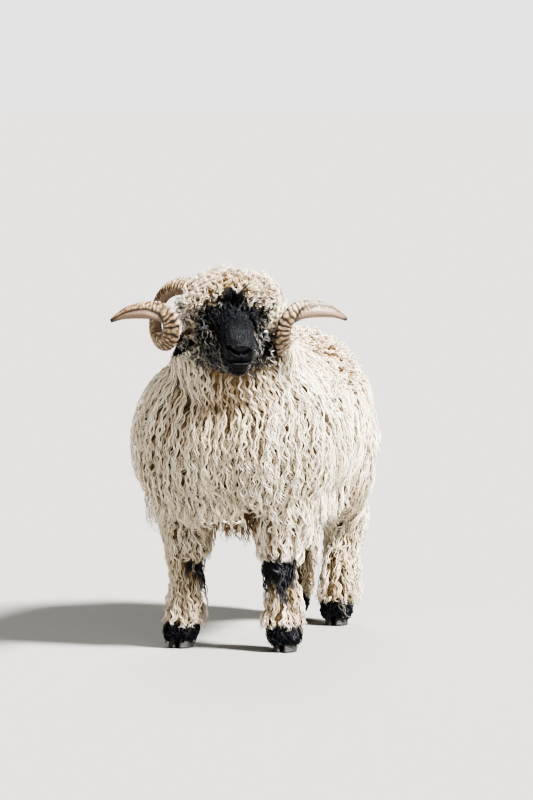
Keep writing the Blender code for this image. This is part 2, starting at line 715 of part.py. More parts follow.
def leg_box(name, foot, sign, top, gap=0.0):
    """The space that belongs to one leg."""
    low_x, high_x = (0.030, 0.400) if sign > 0 else (-0.400, -0.030)
    if name == "hind_right":
        high_x = 0.015
    low = Vector((low_x - gap, foot.y - 0.125 - gap, -0.05))
    high = Vector((high_x + gap, foot.y + 0.150 + gap, top + gap))
    return box_mesh(name, low, high)


def centre_on_floor(ram):
    """Moves every node so that the middle of the ram's box is over the origin."""
    points = [v.co for node in ram.objects for v in node.data.vertices]
    low, high = (Vector(f(p[k] for p in points) for k in range(2)) for f in (min, max))
    shift = -(low + high) / 2
    for node in ram.objects:
        node.data.transform(Matrix.Translation((shift.x, shift.y, 0)))


def build():
    """Makes every node."""
    for old in list(bpy.data.objects):
        bpy.data.objects.remove(old)
    ram = bpy.data.collections.new("valais_blacknose_ram")
    work = bpy.data.collections.new("work")
    bpy.context.scene.collection.children.link(ram)
    bpy.context.scene.collection.children.link(work)
    paint = materials()

    lofts = body_lofts()
    detail = {"torso": (13, 12), "neck": (7, 10), "head": (16, 12), "tail": (8, 6)}
    meshes = [loft.mesh(name, *detail.get(name, (13, 9))) for name, loft in lofts.items()]
    body = add_object("body", meshes[0], work)
    ops = bpy.data.collections.new("operands")
    bpy.context.scene.collection.children.link(ops)
    body.data = boolean(body, "UNION", [*meshes[1:], topknot(), cheek_wool()], ops)
    chin = ellipsoid("chin", on_head(0.214, 0, -0.042), (FORWARD, LEFT, UPWARD), (0.028, 0.026, 0.020))
    body.data = boolean(body, "UNION", [eyelids(1), eyelids(-1), chin], ops)
    tree = BVHTree.FromObject(body, bpy.context.evaluated_depsgraph_get())
    body.data = boolean(body, "UNION", grow_coat(tree, lofts), ops)

    cutters = [closed_mesh("horn_room", horn_rings(s, 4 * GAP, 32, False)) for s in ("left", "right")]
    for sign in (1, -1):
        cutters += [ball("eye_room", eye_centre(sign), EYE_RADIUS + 2 * GAP), lid_opening(sign)]
    cutters += [closed_mesh("ear_room", ear_rings(s, 3 * GAP, False)) for s in (1, -1)]
    cutters += [nostril_cutter(1), nostril_cutter(-1), mouth_cutter()]
    for name, foot in feet().items():
        cutters += [closed_mesh("claw_room", claw_rings(foot, s, 2 * GAP)) for s in (1, -1)]
    body.data = boolean(body, "DIFFERENCE", cutters, ops)

    neck_plane = (Vector((0.0, -0.255, 0.665)), Vector((0.05, -0.60, 0.80)))
    head_plane = (on_head(-0.022, 0, 0), (FORWARD * 0.75 + UPWARD * 0.65).normalized())
    legs = {
        "front_left": ("leg_front_left", 1, FRONT_LEG_TOP),
        "front_right": ("leg_front_right", -1, FRONT_LEG_TOP),
        "hind_left": ("leg_hind_left", 1, HIND_LEG_TOP),
        "hind_right": ("leg_hind_right", -1, HIND_LEG_TOP),
    }
    tail_low, tail_high = Vector((-0.10, TAIL_PLANE_Y, 0.30)), Vector((0.10, 0.70, 0.80))

    def part(name, kept, removed, material):
        piece = add_object(name, body.data.copy(), ram)
        if kept:
            piece.data = boolean(piece, "INTERSECT", kept, ops)
        if removed:
            piece.data = boolean(piece, "DIFFERENCE", removed, ops)
        piece.data = keep_largest(piece.data)
        piece.data.name = name
        piece.data.materials.clear()
        piece.data.materials.append(paint[material])

    leg_rooms = [leg_box(k, feet()[k], s, top, GAP) for k, (_, s, top) in legs.items()]
    tail_room = box_mesh("tail_room", tail_low - Vector((GAP,) * 3), tail_high + Vector((GAP,) * 3))
    part("torso", [], [slab_beyond("n", *neck_plane, gap=GAP), *leg_rooms, tail_room], "fleece")
    part("neck", [slab_beyond("n", *neck_plane)], [slab_beyond("h", *head_plane, gap=GAP)], "fleece")
    behind = slab_beyond("behind", neck_plane[0], -neck_plane[1], gap=GAP)
    part("head", [slab_beyond("h", *head_plane)], [behind], "black_hair")
    for key, (name, sign, top) in legs.items():
        part(name, [leg_box(key, feet()[key], sign, top)], [], "fleece")
    part("tail", [box_mesh("tail_room", tail_low, tail_high)], [], "fleece")

    for side, sign in (("left", 1), ("right", -1)):
        horn = add_object(f"horn_{side}", closed_mesh(f"horn_{side}", horn_rings(side)), ram)
        horn.data.materials.append(paint["horn"])
        eye = add_object(f"eye_{side}", ball(f"eye_{side}", eye_centre(sign), EYE_RADIUS), ram)
        eye.data.materials.append(paint["eye"])
        ear = add_object(f"ear_{side}", closed_mesh(f"ear_{side}", ear_rings(sign)), ram)
        ear.data.materials.append(paint["black_hair"])
    for name, foot in feet().items():
        for which, sign in (("left", 1), ("right", -1)):
            claw = add_object(f"claw_{name}_{which}", closed_mesh("claw", claw_rings(foot, sign)), ram)
            claw.data.materials.append(paint["hoof"])
    bpy.data.objects.remove(body)
    centre_on_floor(ram)


build()
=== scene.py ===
"""The looks of a life-size Valais blacknose ram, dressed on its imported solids.

Lengths are in metres. The ram faces -Y, its left side is +X, and it stands on z = 0. Its
body is laid out in the frame in which it was drawn, and every piece is then moved by one
shift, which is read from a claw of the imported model.
"""

import logging
import math
from dataclasses import dataclass, field
from enum import Enum
from functools import partial
from typing import Callable, ClassVar, NamedTuple

import bmesh
import bpy
import numpy as np
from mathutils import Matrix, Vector
from mathutils.bvhtree import BVHTree
from mathutils.kdtree import KDTree


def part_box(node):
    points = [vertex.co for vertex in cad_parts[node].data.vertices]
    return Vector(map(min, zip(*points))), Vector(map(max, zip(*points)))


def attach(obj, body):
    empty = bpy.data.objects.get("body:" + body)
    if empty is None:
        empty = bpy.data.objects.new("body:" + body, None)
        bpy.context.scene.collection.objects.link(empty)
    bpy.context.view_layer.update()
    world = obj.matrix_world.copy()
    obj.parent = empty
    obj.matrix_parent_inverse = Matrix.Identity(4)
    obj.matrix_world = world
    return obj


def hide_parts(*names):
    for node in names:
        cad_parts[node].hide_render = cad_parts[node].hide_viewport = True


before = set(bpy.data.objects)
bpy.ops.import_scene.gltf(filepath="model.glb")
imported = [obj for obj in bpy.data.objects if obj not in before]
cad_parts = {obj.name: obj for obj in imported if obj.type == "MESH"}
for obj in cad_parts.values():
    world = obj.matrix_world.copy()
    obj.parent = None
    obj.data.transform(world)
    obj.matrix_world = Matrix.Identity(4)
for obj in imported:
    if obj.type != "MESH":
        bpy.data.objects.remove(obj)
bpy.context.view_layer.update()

LOG = logging.getLogger("ram")

HEAD_YAW = math.radians(26.0)  # how far the head is turned to its left
HEAD_PITCH = math.radians(13.0)  # how far the nose drops
HEAD_LEVEL = np.array((math.sin(HEAD_YAW), -math.cos(HEAD_YAW), 0.0))  # forward, without the drop
SKULL_BACK = np.array((0.041, -0.412, 0.840))  # where the head's axis starts
FRONT_FOOT = np.array((0.140, -0.255, 0.0))  # the left one
HIND_FEET = {1: np.array((0.100, 0.320, 0.0)), -1: np.array((-0.060, 0.440, 0.0))}
EYE_RADIUS = 0.0135
EYE_PLACE = (0.088, 0.0500, 0.031)  # along, to the side of and above the head's axis
CLEFT = 0.005  # the gap between a foot's claws
CLAW_WIDTH = 0.027
CLAW_TOE = 0.034  # how far a claw's tip is before the foot's middle
DOWN = np.array((0.0, 0.0, -1.0))
HAIR_FLOOR = 0.004  # how low a strand's middle may hang
ROOT_DEPTH = 0.003  # how deep in the skin a strand starts
PATCH = 0.003  # how wide a strand is on the map
FELT = 0.38  # how far out through the coat its matted part reaches
COAT_PIECE = 190_000  # the most triangles in a piece of the coat


class Slot(Enum):
    """The record's material slots."""

    FLEECE = "fleece"
    BLACK_HAIR = "black_hair"
    HORN = "horn"
    HOOF = "hoof"
    EYE = "eye"


class Side(Enum):
    """The ram's own left, at +X, and right."""

    LEFT = 1
    RIGHT = -1

    @property
    def word(self) -> str:
        """Its word in the names of nodes and pieces."""
        return self.name.lower()


def unit(vectors: np.ndarray) -> np.ndarray:
    """Vectors of length one."""
    return vectors / np.maximum(np.linalg.norm(vectors, axis=-1, keepdims=True), 1e-9)


def dot(a: np.ndarray, b: np.ndarray) -> np.ndarray:
    """Dot products that keep their last axis."""
    return (a * b).sum(-1, keepdims=True)


def flat_on(vectors: np.ndarray, normals: np.ndarray) -> np.ndarray:
    """Vectors laid into the plane of each normal."""
    return unit(vectors - normals * dot(vectors, normals))


def ease(low: float, high: float, values: np.ndarray) -> np.ndarray:
    """A smooth step from 0 at low to 1 at high."""
    t = np.clip((values - low) / (high - low), 0.0, 1.0)
    return t * t * (3 - 2 * t)


def bell(values: np.ndarray, width: float) -> np.ndarray:
    """A bell curve of height one."""
    return np.exp(-((values / width) ** 2))


def smooth(table: np.ndarray, at: np.ndarray) -> np.ndarray:
    """Values on a smooth curve through evenly spaced rows.

    Args:
        table: One row for each point of the curve.
        at: Places from 0 to 1.

    Returns:
        One row for each place.
    """
    last = len(table) - 1
    place = np.clip(at, 0.0, 1.0) * last
    i = np.minimum(place.astype(int), last - 1)
    f = (place - i)[..., None]
    a, b, c, d = (table[np.clip(i + k, 0, last)] for k in (-1, 0, 1, 2))
    return b + 0.5 * f * (c - a + f * (2 * a - 5 * b + 4 * c - d + f * (3 * (b - c) + d - a)))


def ripple(points: np.ndarray, size: float, seed: int) -> np.ndarray:
    """A soft noise of five crossing waves, from about -1 to 1.

    Args:
        points: Where it is read.
        size: The width of its blotches.
        seed: Which noise it is.

    Returns:
        One value for each point.
    """
    draw = np.random.default_rng(seed)
    total = np.zeros(points.shape[:-1])
    for k in range(5):
        way = unit(draw.normal(size=3)) * math.tau / (size * (1.0 + 0.45 * k))
        total += np.sin(points @ way + draw.uniform(0, math.tau))
    return total / 2.6


class Reach(NamedTuple):
    """How far points are along, to the left of and above the head's axis."""

    along: np.ndarray
    across: np.ndarray
    above: np.ndarray


@dataclass(frozen=True)
class HeadFrame:
    """The head's own directions and where it sits."""

    forward: np.ndarray
    left: np.ndarray
    up: np.ndarray

    def at(self, along: float, across: float, above: float) -> np.ndarray:
        """The point so far along, to the left of and above the head's axis."""
        return SKULL_BACK + self.forward * along + self.left * across + self.up * above

    def local(self, points: np.ndarray) -> Reach:
        """Where points are on the head."""
        reach = points - SKULL_BACK
        return Reach(reach @ self.forward, reach @ self.left, reach @ self.up)


def head_frame() -> HeadFrame:
    """The head's frame, from its turn and its drop."""
    left = np.array((math.cos(HEAD_YAW), math.sin(HEAD_YAW), 0.0))
    forward = HEAD_LEVEL * math.cos(HEAD_PITCH) + DOWN * math.sin(HEAD_PITCH)
    return HeadFrame(forward, left, np.cross(forward, left))


HEAD = head_frame()
HEAD_AXES = (HEAD.forward, HEAD.left, HEAD.up)


# The bare body's oval sections: x, y and z of the middle, half width, reach up, reach down and
# depth of coat
TORSO = np.array((
    (0, -0.375, 0.500, 0.060, 0.060, 0.060, 0.040),
    (0, -0.345, 0.505, 0.130, 0.125, 0.120, 0.062),
    (0, -0.285, 0.515, 0.195, 0.175, 0.125, 0.074),
    (0, -0.200, 0.525, 0.208, 0.205, 0.130, 0.068),
    (0, -0.060, 0.530, 0.200, 0.212, 0.134, 0.060),
    (0, 0.090, 0.535, 0.195, 0.214, 0.138, 0.054),
    (0, 0.240, 0.540, 0.180, 0.221, 0.130, 0.048),
    (0, 0.350, 0.555, 0.158, 0.203, 0.125, 0.045),
    (0, 0.425, 0.570, 0.120, 0.155, 0.115, 0.042),
    (0, 0.465, 0.585, 0.070, 0.085, 0.080, 0.030),
))
NECK = np.array((
    (0.000, -0.130, 0.600, 0.155, 0.135, 0.130, 0.050),
    (0.003, -0.210, 0.665, 0.132, 0.118, 0.132, 0.068),
    (0.018, -0.290, 0.735, 0.104, 0.094, 0.110, 0.064),
    (0.036, -0.355, 0.800, 0.084, 0.078, 0.088, 0.058),
    (0.052, -0.405, 0.845, 0.068, 0.064, 0.072, 0.048),
))
# How far along the head's axis each section stands, with its sizes
SKULL = (
    (-0.020, 0.040, 0.040, 0.040, 0.020),
    (0.020, 0.058, 0.064, 0.070, 0.020),
    (0.060, 0.062, 0.070, 0.085, 0.012),
    (0.095, 0.055, 0.058, 0.087, 0.008),
    (0.130, 0.048, 0.047, 0.082, 0.006),
    (0.165, 0.043, 0.040, 0.070, 0.004),
    (0.200, 0.038, 0.034, 0.060, 0.002),
    (0.230, 0.036, 0.027, 0.050, 0.002),
    (0.248, 0.029, 0.015, 0.040, 0.001),
)
# A left front leg, whose y is measured back from the foot
FRONT_LEG = np.array((
    (0.112, 0.035, 0.520, 0.052, 0.075, 0.055, 0.020),
    (0.126, 0.030, 0.430, 0.056, 0.065, 0.052, 0.040),
    (0.131, 0.022, 0.340, 0.047, 0.050, 0.044, 0.042),
    (0.126, 0.012, 0.270, 0.036, 0.036, 0.036, 0.032),
    (0.123, 0.006, 0.212, 0.034, 0.030, 0.034, 0.018),
    (0.126, 0.012, 0.165, 0.024, 0.026, 0.022, 0.033),
    (0.128, 0.015, 0.110, 0.023, 0.025, 0.021, 0.037),
    (0.132, 0.010, 0.072, 0.028, 0.030, 0.026, 0.027),
    (0.139, 0.002, 0.045, 0.029, 0.028, 0.030, 0.020),
    (0.140, -0.002, 0.026, 0.030, 0.026, 0.030, 0.012),
))
HIP = np.array((
    (0.090, 0.310, 0.610, 0.070, 0.085, 0.100, 0.020),
    (0.115, 0.290, 0.510, 0.068, 0.100, 0.105, 0.040),
    (0.120, 0.292, 0.420, 0.058, 0.080, 0.085, 0.040),
))
# The lower hind leg, measured from its foot
SHANK = np.array((
    (0, 0.045, 0.320, 0.040, 0.050, 0.044, 0.036),
    (0, 0.068, 0.240, 0.031, 0.036, 0.030, 0.024),
    (0, 0.052, 0.175, 0.024, 0.027, 0.022, 0.038),
    (0, 0.030, 0.115, 0.023, 0.025, 0.021, 0.040),
    (0, 0.012, 0.073, 0.028, 0.030, 0.026, 0.026),
    (0, 0.002, 0.045, 0.029, 0.028, 0.030, 0.018),
    (0, -0.002, 0.026, 0.030, 0.026, 0.030, 0.012),
))
TAIL = np.array((
    (0.000, 0.400, 0.690, 0.030, 0.026, 0.026, 0.010),
    (0.000, 0.468, 0.672, 0.028, 0.022, 0.026, 0.026),
    (0.002, 0.505, 0.615, 0.022, 0.017, 0.017, 0.030),
    (0.004, 0.512, 0.535, 0.017, 0.013, 0.013, 0.034),
    (0.006, 0.512, 0.460, 0.012, 0.010, 0.010, 0.032),
    (0.006, 0.510, 0.415, 0.007, 0.006, 0.006, 0.022),
))


@dataclass
class Roots:
    """Places on the skin where locks grow."""

    points: np.ndarray
    out: np.ndarray  # the skin's normals
    room: np.ndarray  # how deep the coat is
    chart: np.ndarray  # their places on the skin's map

    def __len__(self) -> int:
        """How many roots there are."""
        return len(self.points)

    @property
    def head(self) -> Reach:
        """Where they are on the head."""
        return HEAD.local(self.points)

    def where(self, keep: np.ndarray) -> "Roots":
        """Only the roots that a mask keeps."""
        return Roots(self.points[keep], self.out[keep], self.room[keep], self.chart[keep])


@dataclass
class Loft:
    """A closed form through oval sections along a bent line."""

    sections: np.ndarray
    side: np.ndarray
    squareness: tuple[float, float] = (2.0, 2.0)  # above and below: 2 is an oval, more is boxier
    centres: np.ndarray = field(init=False)
    sizes: np.ndarray = field(init=False)

    def __post_init__(self) -> None:
        """Splits the sections into their middles and sizes."""
        self.centres, self.sizes = self.sections[:, :3], self.sections[:, 3:]

    def grid(self, at: np.ndarray, count: int, share: float = 0.0) -> np.ndarray:
        """The points of the sections at some places.

        Args:
            at: Places along the form, from 0 to 1.
            count: Points round each section.
            share: How far out through the coat, from 0 at the skin to 1.

        Returns:
            An array of sections, points and coordinates.
        """
        step = 0.01
        ahead = unit(smooth(self.centres, at + step) - smooth(self.centres, at - step))
        side = unit(self.side - ahead * dot(self.side, ahead))[:, None]
        upward = np.cross(side, ahead[:, None])
        wide, high, low, coat = smooth(self.sizes, at).T[..., None]
        angle = np.arange(count) * math.tau / count
        power = 2 / np.where(np.sin(angle) < 0, self.squareness[1], self.squareness[0])
        x = np.sign(np.cos(angle)) * np.abs(np.cos(angle)) ** power
        y = np.sign(np.sin(angle)) * np.abs(np.sin(angle)) ** power
        reach_x = (x * (wide + coat * share))[..., None]
        reach_y = (y * (np.where(y > 0, high, low) + coat * share))[..., None]
        return smooth(self.centres, at)[:, None] + side * reach_x + upward * reach_y

    def surface(self, rings: int, count: int, share: float = 0.0) -> np.ndarray:
        """The form as rings of points, so far out through its coat."""
        return self.grid(np.linspace(0.0, 1.0, rings), count, share)


def moved(sections: np.ndarray, sign: int, x: float, y: float) -> np.ndarray:
    """Sections mirrored for one side and then shifted."""
    made = sections * (sign, 1, 1, 1, 1, 1, 1)
    made[:, :2] += (x, y)
    return made


def body_lofts() -> dict[str, Loft]:
    """The forms of the bare body, by name."""
    across = np.array((1.0, 0.0, 0.0))
    skull = np.array([(*HEAD.at(along, 0, 0), *sizes) for along, *sizes in SKULL])
    made = {
        "torso": Loft(TORSO, across, (2.05, 2.6)),
        "neck": Loft(NECK, -0.5 * (HEAD.left + across)),
        "head": Loft(skull, -HEAD.left, (2.2, 2.2)),
        "tail": Loft(TAIL, across),
    }
    for side in Side:
        sign = side.value
        foot_x, foot_y, _ = HIND_FEET[sign]
        hind = np.vstack([moved(HIP, sign, 0.0, 0.0), moved(SHANK, sign, foot_x, foot_y)])
        made[f"front_{side.word}"] = Loft(moved(FRONT_LEG, sign, 0.0, FRONT_FOOT[1]), across)
        made[f"hind_{side.word}"] = Loft(hind, across)
    return made


def egg(centre: np.ndarray, axes: tuple[np.ndarray, ...], radii: tuple[float, ...]) -> np.ndarray:
    """A stretched ball as rings of points.

    Args:
        centre: Its middle.
        axes: Its three directions, right-handed.
        radii: Its reach along each.

    Returns:
        Rings of points, from just inside one pole to just inside the other.
    """
    pole = 0.06  # radians from each pole to the first ring
    height = np.linspace(pole, math.pi - pole, 26)[:, None]
    turn = np.linspace(0, math.tau, 36, endpoint=False)[None]
    ball = np.sin(height) * np.cos(turn), np.sin(height) * np.sin(turn), -np.cos(height) + 0 * turn
    return centre + sum(v[..., None] * axis * radius for v, axis, radius in zip(ball, axes, radii))


def link(name: str, data: bpy.types.ID) -> bpy.types.Object:
    """A new object of a mesh, camera or light, in the scene."""
    made = bpy.data.objects.new(name, data)
    bpy.context.scene.collection.objects.link(made)
    return made


def read_points(mesh: bpy.types.Mesh, key: str = "co") -> np.ndarray:
    """The places, or the normals, of a mesh's points."""
    values = np.zeros(len(mesh.vertices) * 3)
    mesh.vertices.foreach_get(key, values)
    return values.reshape(-1, 3)


def write_values(mesh: bpy.types.Mesh, name: str, values: np.ndarray) -> None:
    """Writes one number for each point of a mesh."""
    made = mesh.attributes.new(name, "FLOAT", "POINT")
    made.data.foreach_set("value", np.asarray(values, np.float32).ravel())


def closed_mesh(name: str, forms: list[np.ndarray], ring_ends: bool = False) -> bpy.types.Mesh:
    """One mesh of closed tubes, each given as rings of points.

    Args:
        name: The mesh's name.
        forms: The rings of each tube.
        ring_ends: Whether each tube's last ring joins its first.

    Returns:
        The mesh, with its faces pointing out.
    """
    bm = bmesh.new()
    for rings in forms:
        rows = [[bm.verts.new(p) for p in ring] for ring in rings]
        for low, high in zip(rows, rows[1:] + rows[:1] if ring_ends else rows[1:]):
            for j in range(len(low)):
                k = (j + 1) % len(low)
                bm.faces.new((low[j], low[k], high[k], high[j]))
        if not ring_ends:
            bm.faces.new(list(reversed(rows[0])))
            bm.faces.new(rows[-1])
    bmesh.ops.recalc_face_normals(bm, faces=bm.faces)
    mesh = bpy.data.meshes.new(name)
    bm.to_mesh(mesh)
    bm.free()
    return mesh


def applied(obj: bpy.types.Object) -> bpy.types.Object:
    """The object with its modifiers' result as its mesh."""
    graph = bpy.context.evaluated_depsgraph_get()
    mesh = bpy.data.meshes.new_from_object(obj.evaluated_get(graph))
    obj.modifiers.clear()
    obj.data = mesh
    return obj


def fused(name: str, forms: list[np.ndarray], voxel: float, passes: int) -> bpy.types.Object:
    """One even surface round overlapping forms.

    Args:
        name: The object's name.
        forms: Rings of points of each form.
        voxel: The side of a voxel.
        passes: How often it is smoothed.

    Returns:
        The fused object.
    """
    made = link(name, closed_mesh(name, forms))
    remesh = made.modifiers.new("fuse", "REMESH")
    remesh.mode = "VOXEL"
    remesh.voxel_size = voxel
    soften = made.modifiers.new("soften", "SMOOTH")
    soften.factor = 0.5
    soften.iterations = passes
    return applied(made)


def joined(body: bpy.types.Object, other: bpy.types.Object, operation: str) -> bpy.types.Object:
    """The body joined to or cut by another closed object, which is removed."""
    modifier = body.modifiers.new("join", "BOOLEAN")
    modifier.operation = operation
    modifier.solver = "MANIFOLD"
    modifier.object = other
    applied(body)
    bpy.data.objects.remove(other)
    return body


def eye_centre(sign: int) -> np.ndarray:
    """The middle of the eye on one side."""
    along, across, above = EYE_PLACE
    return HEAD.at(along, across * sign, above)


def eye_axes(sign: int) -> tuple[np.ndarray, np.ndarray, np.ndarray]:
    """The directions along the lids, across them and out of the eye."""
    outward = unit(HEAD.left * sign + HEAD.forward * 0.35 + HEAD.up * 0.08)
    along = flat_on(HEAD.forward, outward)
    return along, np.cross(outward, along), outward


@dataclass
class Ear:
    """One ear: a cupped leaf that hangs out and down from under the horn."""

    side: Side
    length: float = 0.125
    width: float = 0.052
    thickness: float = 0.005  # of the leaf at its root
    bow: float = 0.012  # how far its middle stands out of a straight line
    # Its half width at even steps from root to tip, as a share of the widest
    OUTLINE: ClassVar[tuple[float, ...]] = (0.30, 0.62, 0.92, 1.0, 0.86, 0.52, 0.12)

    def axes(self) -> tuple[np.ndarray, np.ndarray, np.ndarray, np.ndarray]:
        """The ear's root, and the directions along, out of and across it."""
        sign = self.side.value
        spread = 0.50 if sign > 0 else 0.56
        out = HEAD.left * sign
        along = unit(out * spread + DOWN * 0.70 - HEAD.forward * 0.10)
        face = flat_on(out * 0.60 + HEAD.forward * 0.75 - DOWN * 0.35, along)
        return HEAD.at(0.020, 0.058 * sign, 0.020), along, face, np.cross(along, face)

    def rings(self) -> np.ndarray:
        """Crescent sections from the round root to the flat tip."""
        root, along, face, across = self.axes()
        back = np.radians(np.linspace(-90, 90, 15))
        front = np.radians(np.linspace(66, -66, 11))
        angles = np.concatenate([back, front])
        at = np.linspace(0, 1, 30)
        widths = smooth(np.array(self.OUTLINE)[:, None], at)[:, 0]
        made = []
        for t, share in zip(at, widths):
            half = self.width / 2 * share
            deep = half * (1.0 - 0.75 * t)
            thick = self.thickness / 2 * (1 - 0.5 * t)
            depth = np.concatenate([np.full(len(back), deep + thick), np.full(len(front), deep - thick)])
            centre = root + along * self.length * t + face * self.bow * math.sin(math.pi * t)
            edge = across * (half * np.sin(angles))[:, None]
            made.append(centre + edge - face * (depth * np.cos(angles))[:, None])
        return np.array(made)

    def near(self, points: np.ndarray) -> np.ndarray:
        """How much points belong to the ear, from 0 to 1."""
        root, along, _, _ = self.axes()
        reach = points - root
        run = np.clip(reach @ along, 0.0, self.length)
        gap = np.linalg.norm(reach - run[..., None] * along, axis=-1)
        return ease(0.040, 0.030, gap) * ease(0.066, 0.082, reach @ along)


EARS = {side: Ear(side) for side in Side}


def near_ears(points: np.ndarray) -> np.ndarray:
    """How much points belong to either ear, from 0 to 1."""
    return np.maximum(*(ear.near(points) for ear in EARS.values()))


class Markings:
    """Where the ram is black, sandy or soiled. Skin and coat read the same rules."""

    knee: float = 0.212  # how high the knees' patches are
    knee_half: float = 0.034  # half the left patch's height
    inner_knee: float = 0.55  # the right patch's height, as a share of the left one's
    knee_streak: float = 0.050  # how far black streaks run down from a patch
    hock: float = 0.238  # how high the hocks' patches are
    coronet: tuple[float, float] = (0.076, 0.062)  # from how high to how low the feet turn black
    throat: tuple[float, float, float] = (0.03, -0.42, 0.665)  # the middle of its tan patch: matted wool and painted shade under the head
    throat_reach: tuple[float, float, float] = (0.060, 0.10, 0.055)

    @staticmethod
    def knee_side(points: np.ndarray) -> np.ndarray:
        """How much points are on the black side of a knee: the front, or the right leg's inside."""
        x, y, _ = np.moveaxis(points, -1, 0)
        front = ease(-0.17, -0.20, y)
        return front * np.where(x > 0, ease(-0.225, -0.245, y), ease(-0.128, -0.112, x))

    @classmethod
    def black(cls, points: np.ndarray) -> np.ndarray:
        """How black the skin and coat are on face, ears, knees, hocks and feet, from 0 to 1."""
        along, across, above = HEAD.local(points)
        ragged = ripple(points, 0.05, 3) * 0.006
        slope = 0.40 + 0.8 * ease(0.018, 0.050, np.abs(across))
        edge = 0.016 + slope * np.maximum(above - 0.010, 0.0) + 1.2 * np.maximum(-0.070 - above, 0.0)
        face = ease(edge - 0.006, edge + 0.010, along + ragged) * ease(-0.14, -0.12, above)
        face *= ease(0.125, 0.115, np.abs(across))
        x, y, z = np.moveaxis(points, -1, 0)
        rough = ripple(points, 0.04, 5) * 0.006
        half = np.where(x > 0, cls.knee_half, cls.inner_knee * cls.knee_half)
        streaks = np.maximum(ripple(points * (1.0, 1.0, 0.15), 0.024, 37), 0.0)
        level = np.abs(z + 1.8 * rough - cls.knee) - half - cls.knee_streak * streaks * (z < cls.knee)
        knees = ease(0.005, -0.005, level) * cls.knee_side(points)
        feet = ease(*cls.coronet, z + rough)
        hocks = np.zeros_like(z)
        for foot in HIND_FEET.values():
            near = bell(x - foot[0], 0.06) * ease(0.060, 0.085, y - foot[1])
            hocks = np.maximum(hocks, bell(z + rough - cls.hock, 0.026) * near)
        patches = [face, near_ears(points), knees, feet, 1.5 * hocks - 0.3]
        return np.clip(np.maximum.reduce(patches), 0, 1)

    @classmethod
    def sand(cls, points: np.ndarray, normals: np.ndarray) -> np.ndarray:
        """How sandy the wool is: the sun-dried back and crown, and the throat in part painted shade, from 0
        to 1.
        """
        along, across, above = HEAD.local(points)
        crown = ease(0.03, 0.08, above) * ease(-0.14, -0.10, along) * ease(0.16, 0.12, along)
        crown *= 0.35 + 0.65 * bell(across + 0.01, 0.07)
        back = ease(0.15, 0.85, normals[..., 2]) * ease(-0.26, -0.10, points[..., 1])
        back *= ease(0.58, 0.70, points[..., 2])
        spots = 0.5 + 0.5 * ripple(points, 0.07, 11)
        # the throat's tan is partly matted wool and partly painted shade under the head
        reach = np.linalg.norm((points - cls.throat) / cls.throat_reach, axis=-1)
        most = np.maximum.reduce([0.85 * back, 0.75 * crown, 0.9 * bell(reach, 1.0)])
        return np.clip(most * (0.6 + 0.5 * spots), 0, 1)

    @staticmethod
    def soil(points: np.ndarray) -> np.ndarray:
        """How soiled the wool is: the lower legs, the breast's fringe and the belly, from 0 to 1."""
        x, y, z = np.moveaxis(points, -1, 0)
        spots = 0.5 + 0.5 * ripple(points, 0.06, 17)
        under = ease(0.425, 0.385, z) * ease(-0.34, -0.28, y) * ease(0.30, 0.22, y)
        under *= ease(0.080, 0.050, np.abs(x)) * ease(0.20, 0.26, z)
        return np.clip(0.45 * ease(0.34, 0.06, z) * (0.4 + 0.6 * spots) + under, 0, 1)


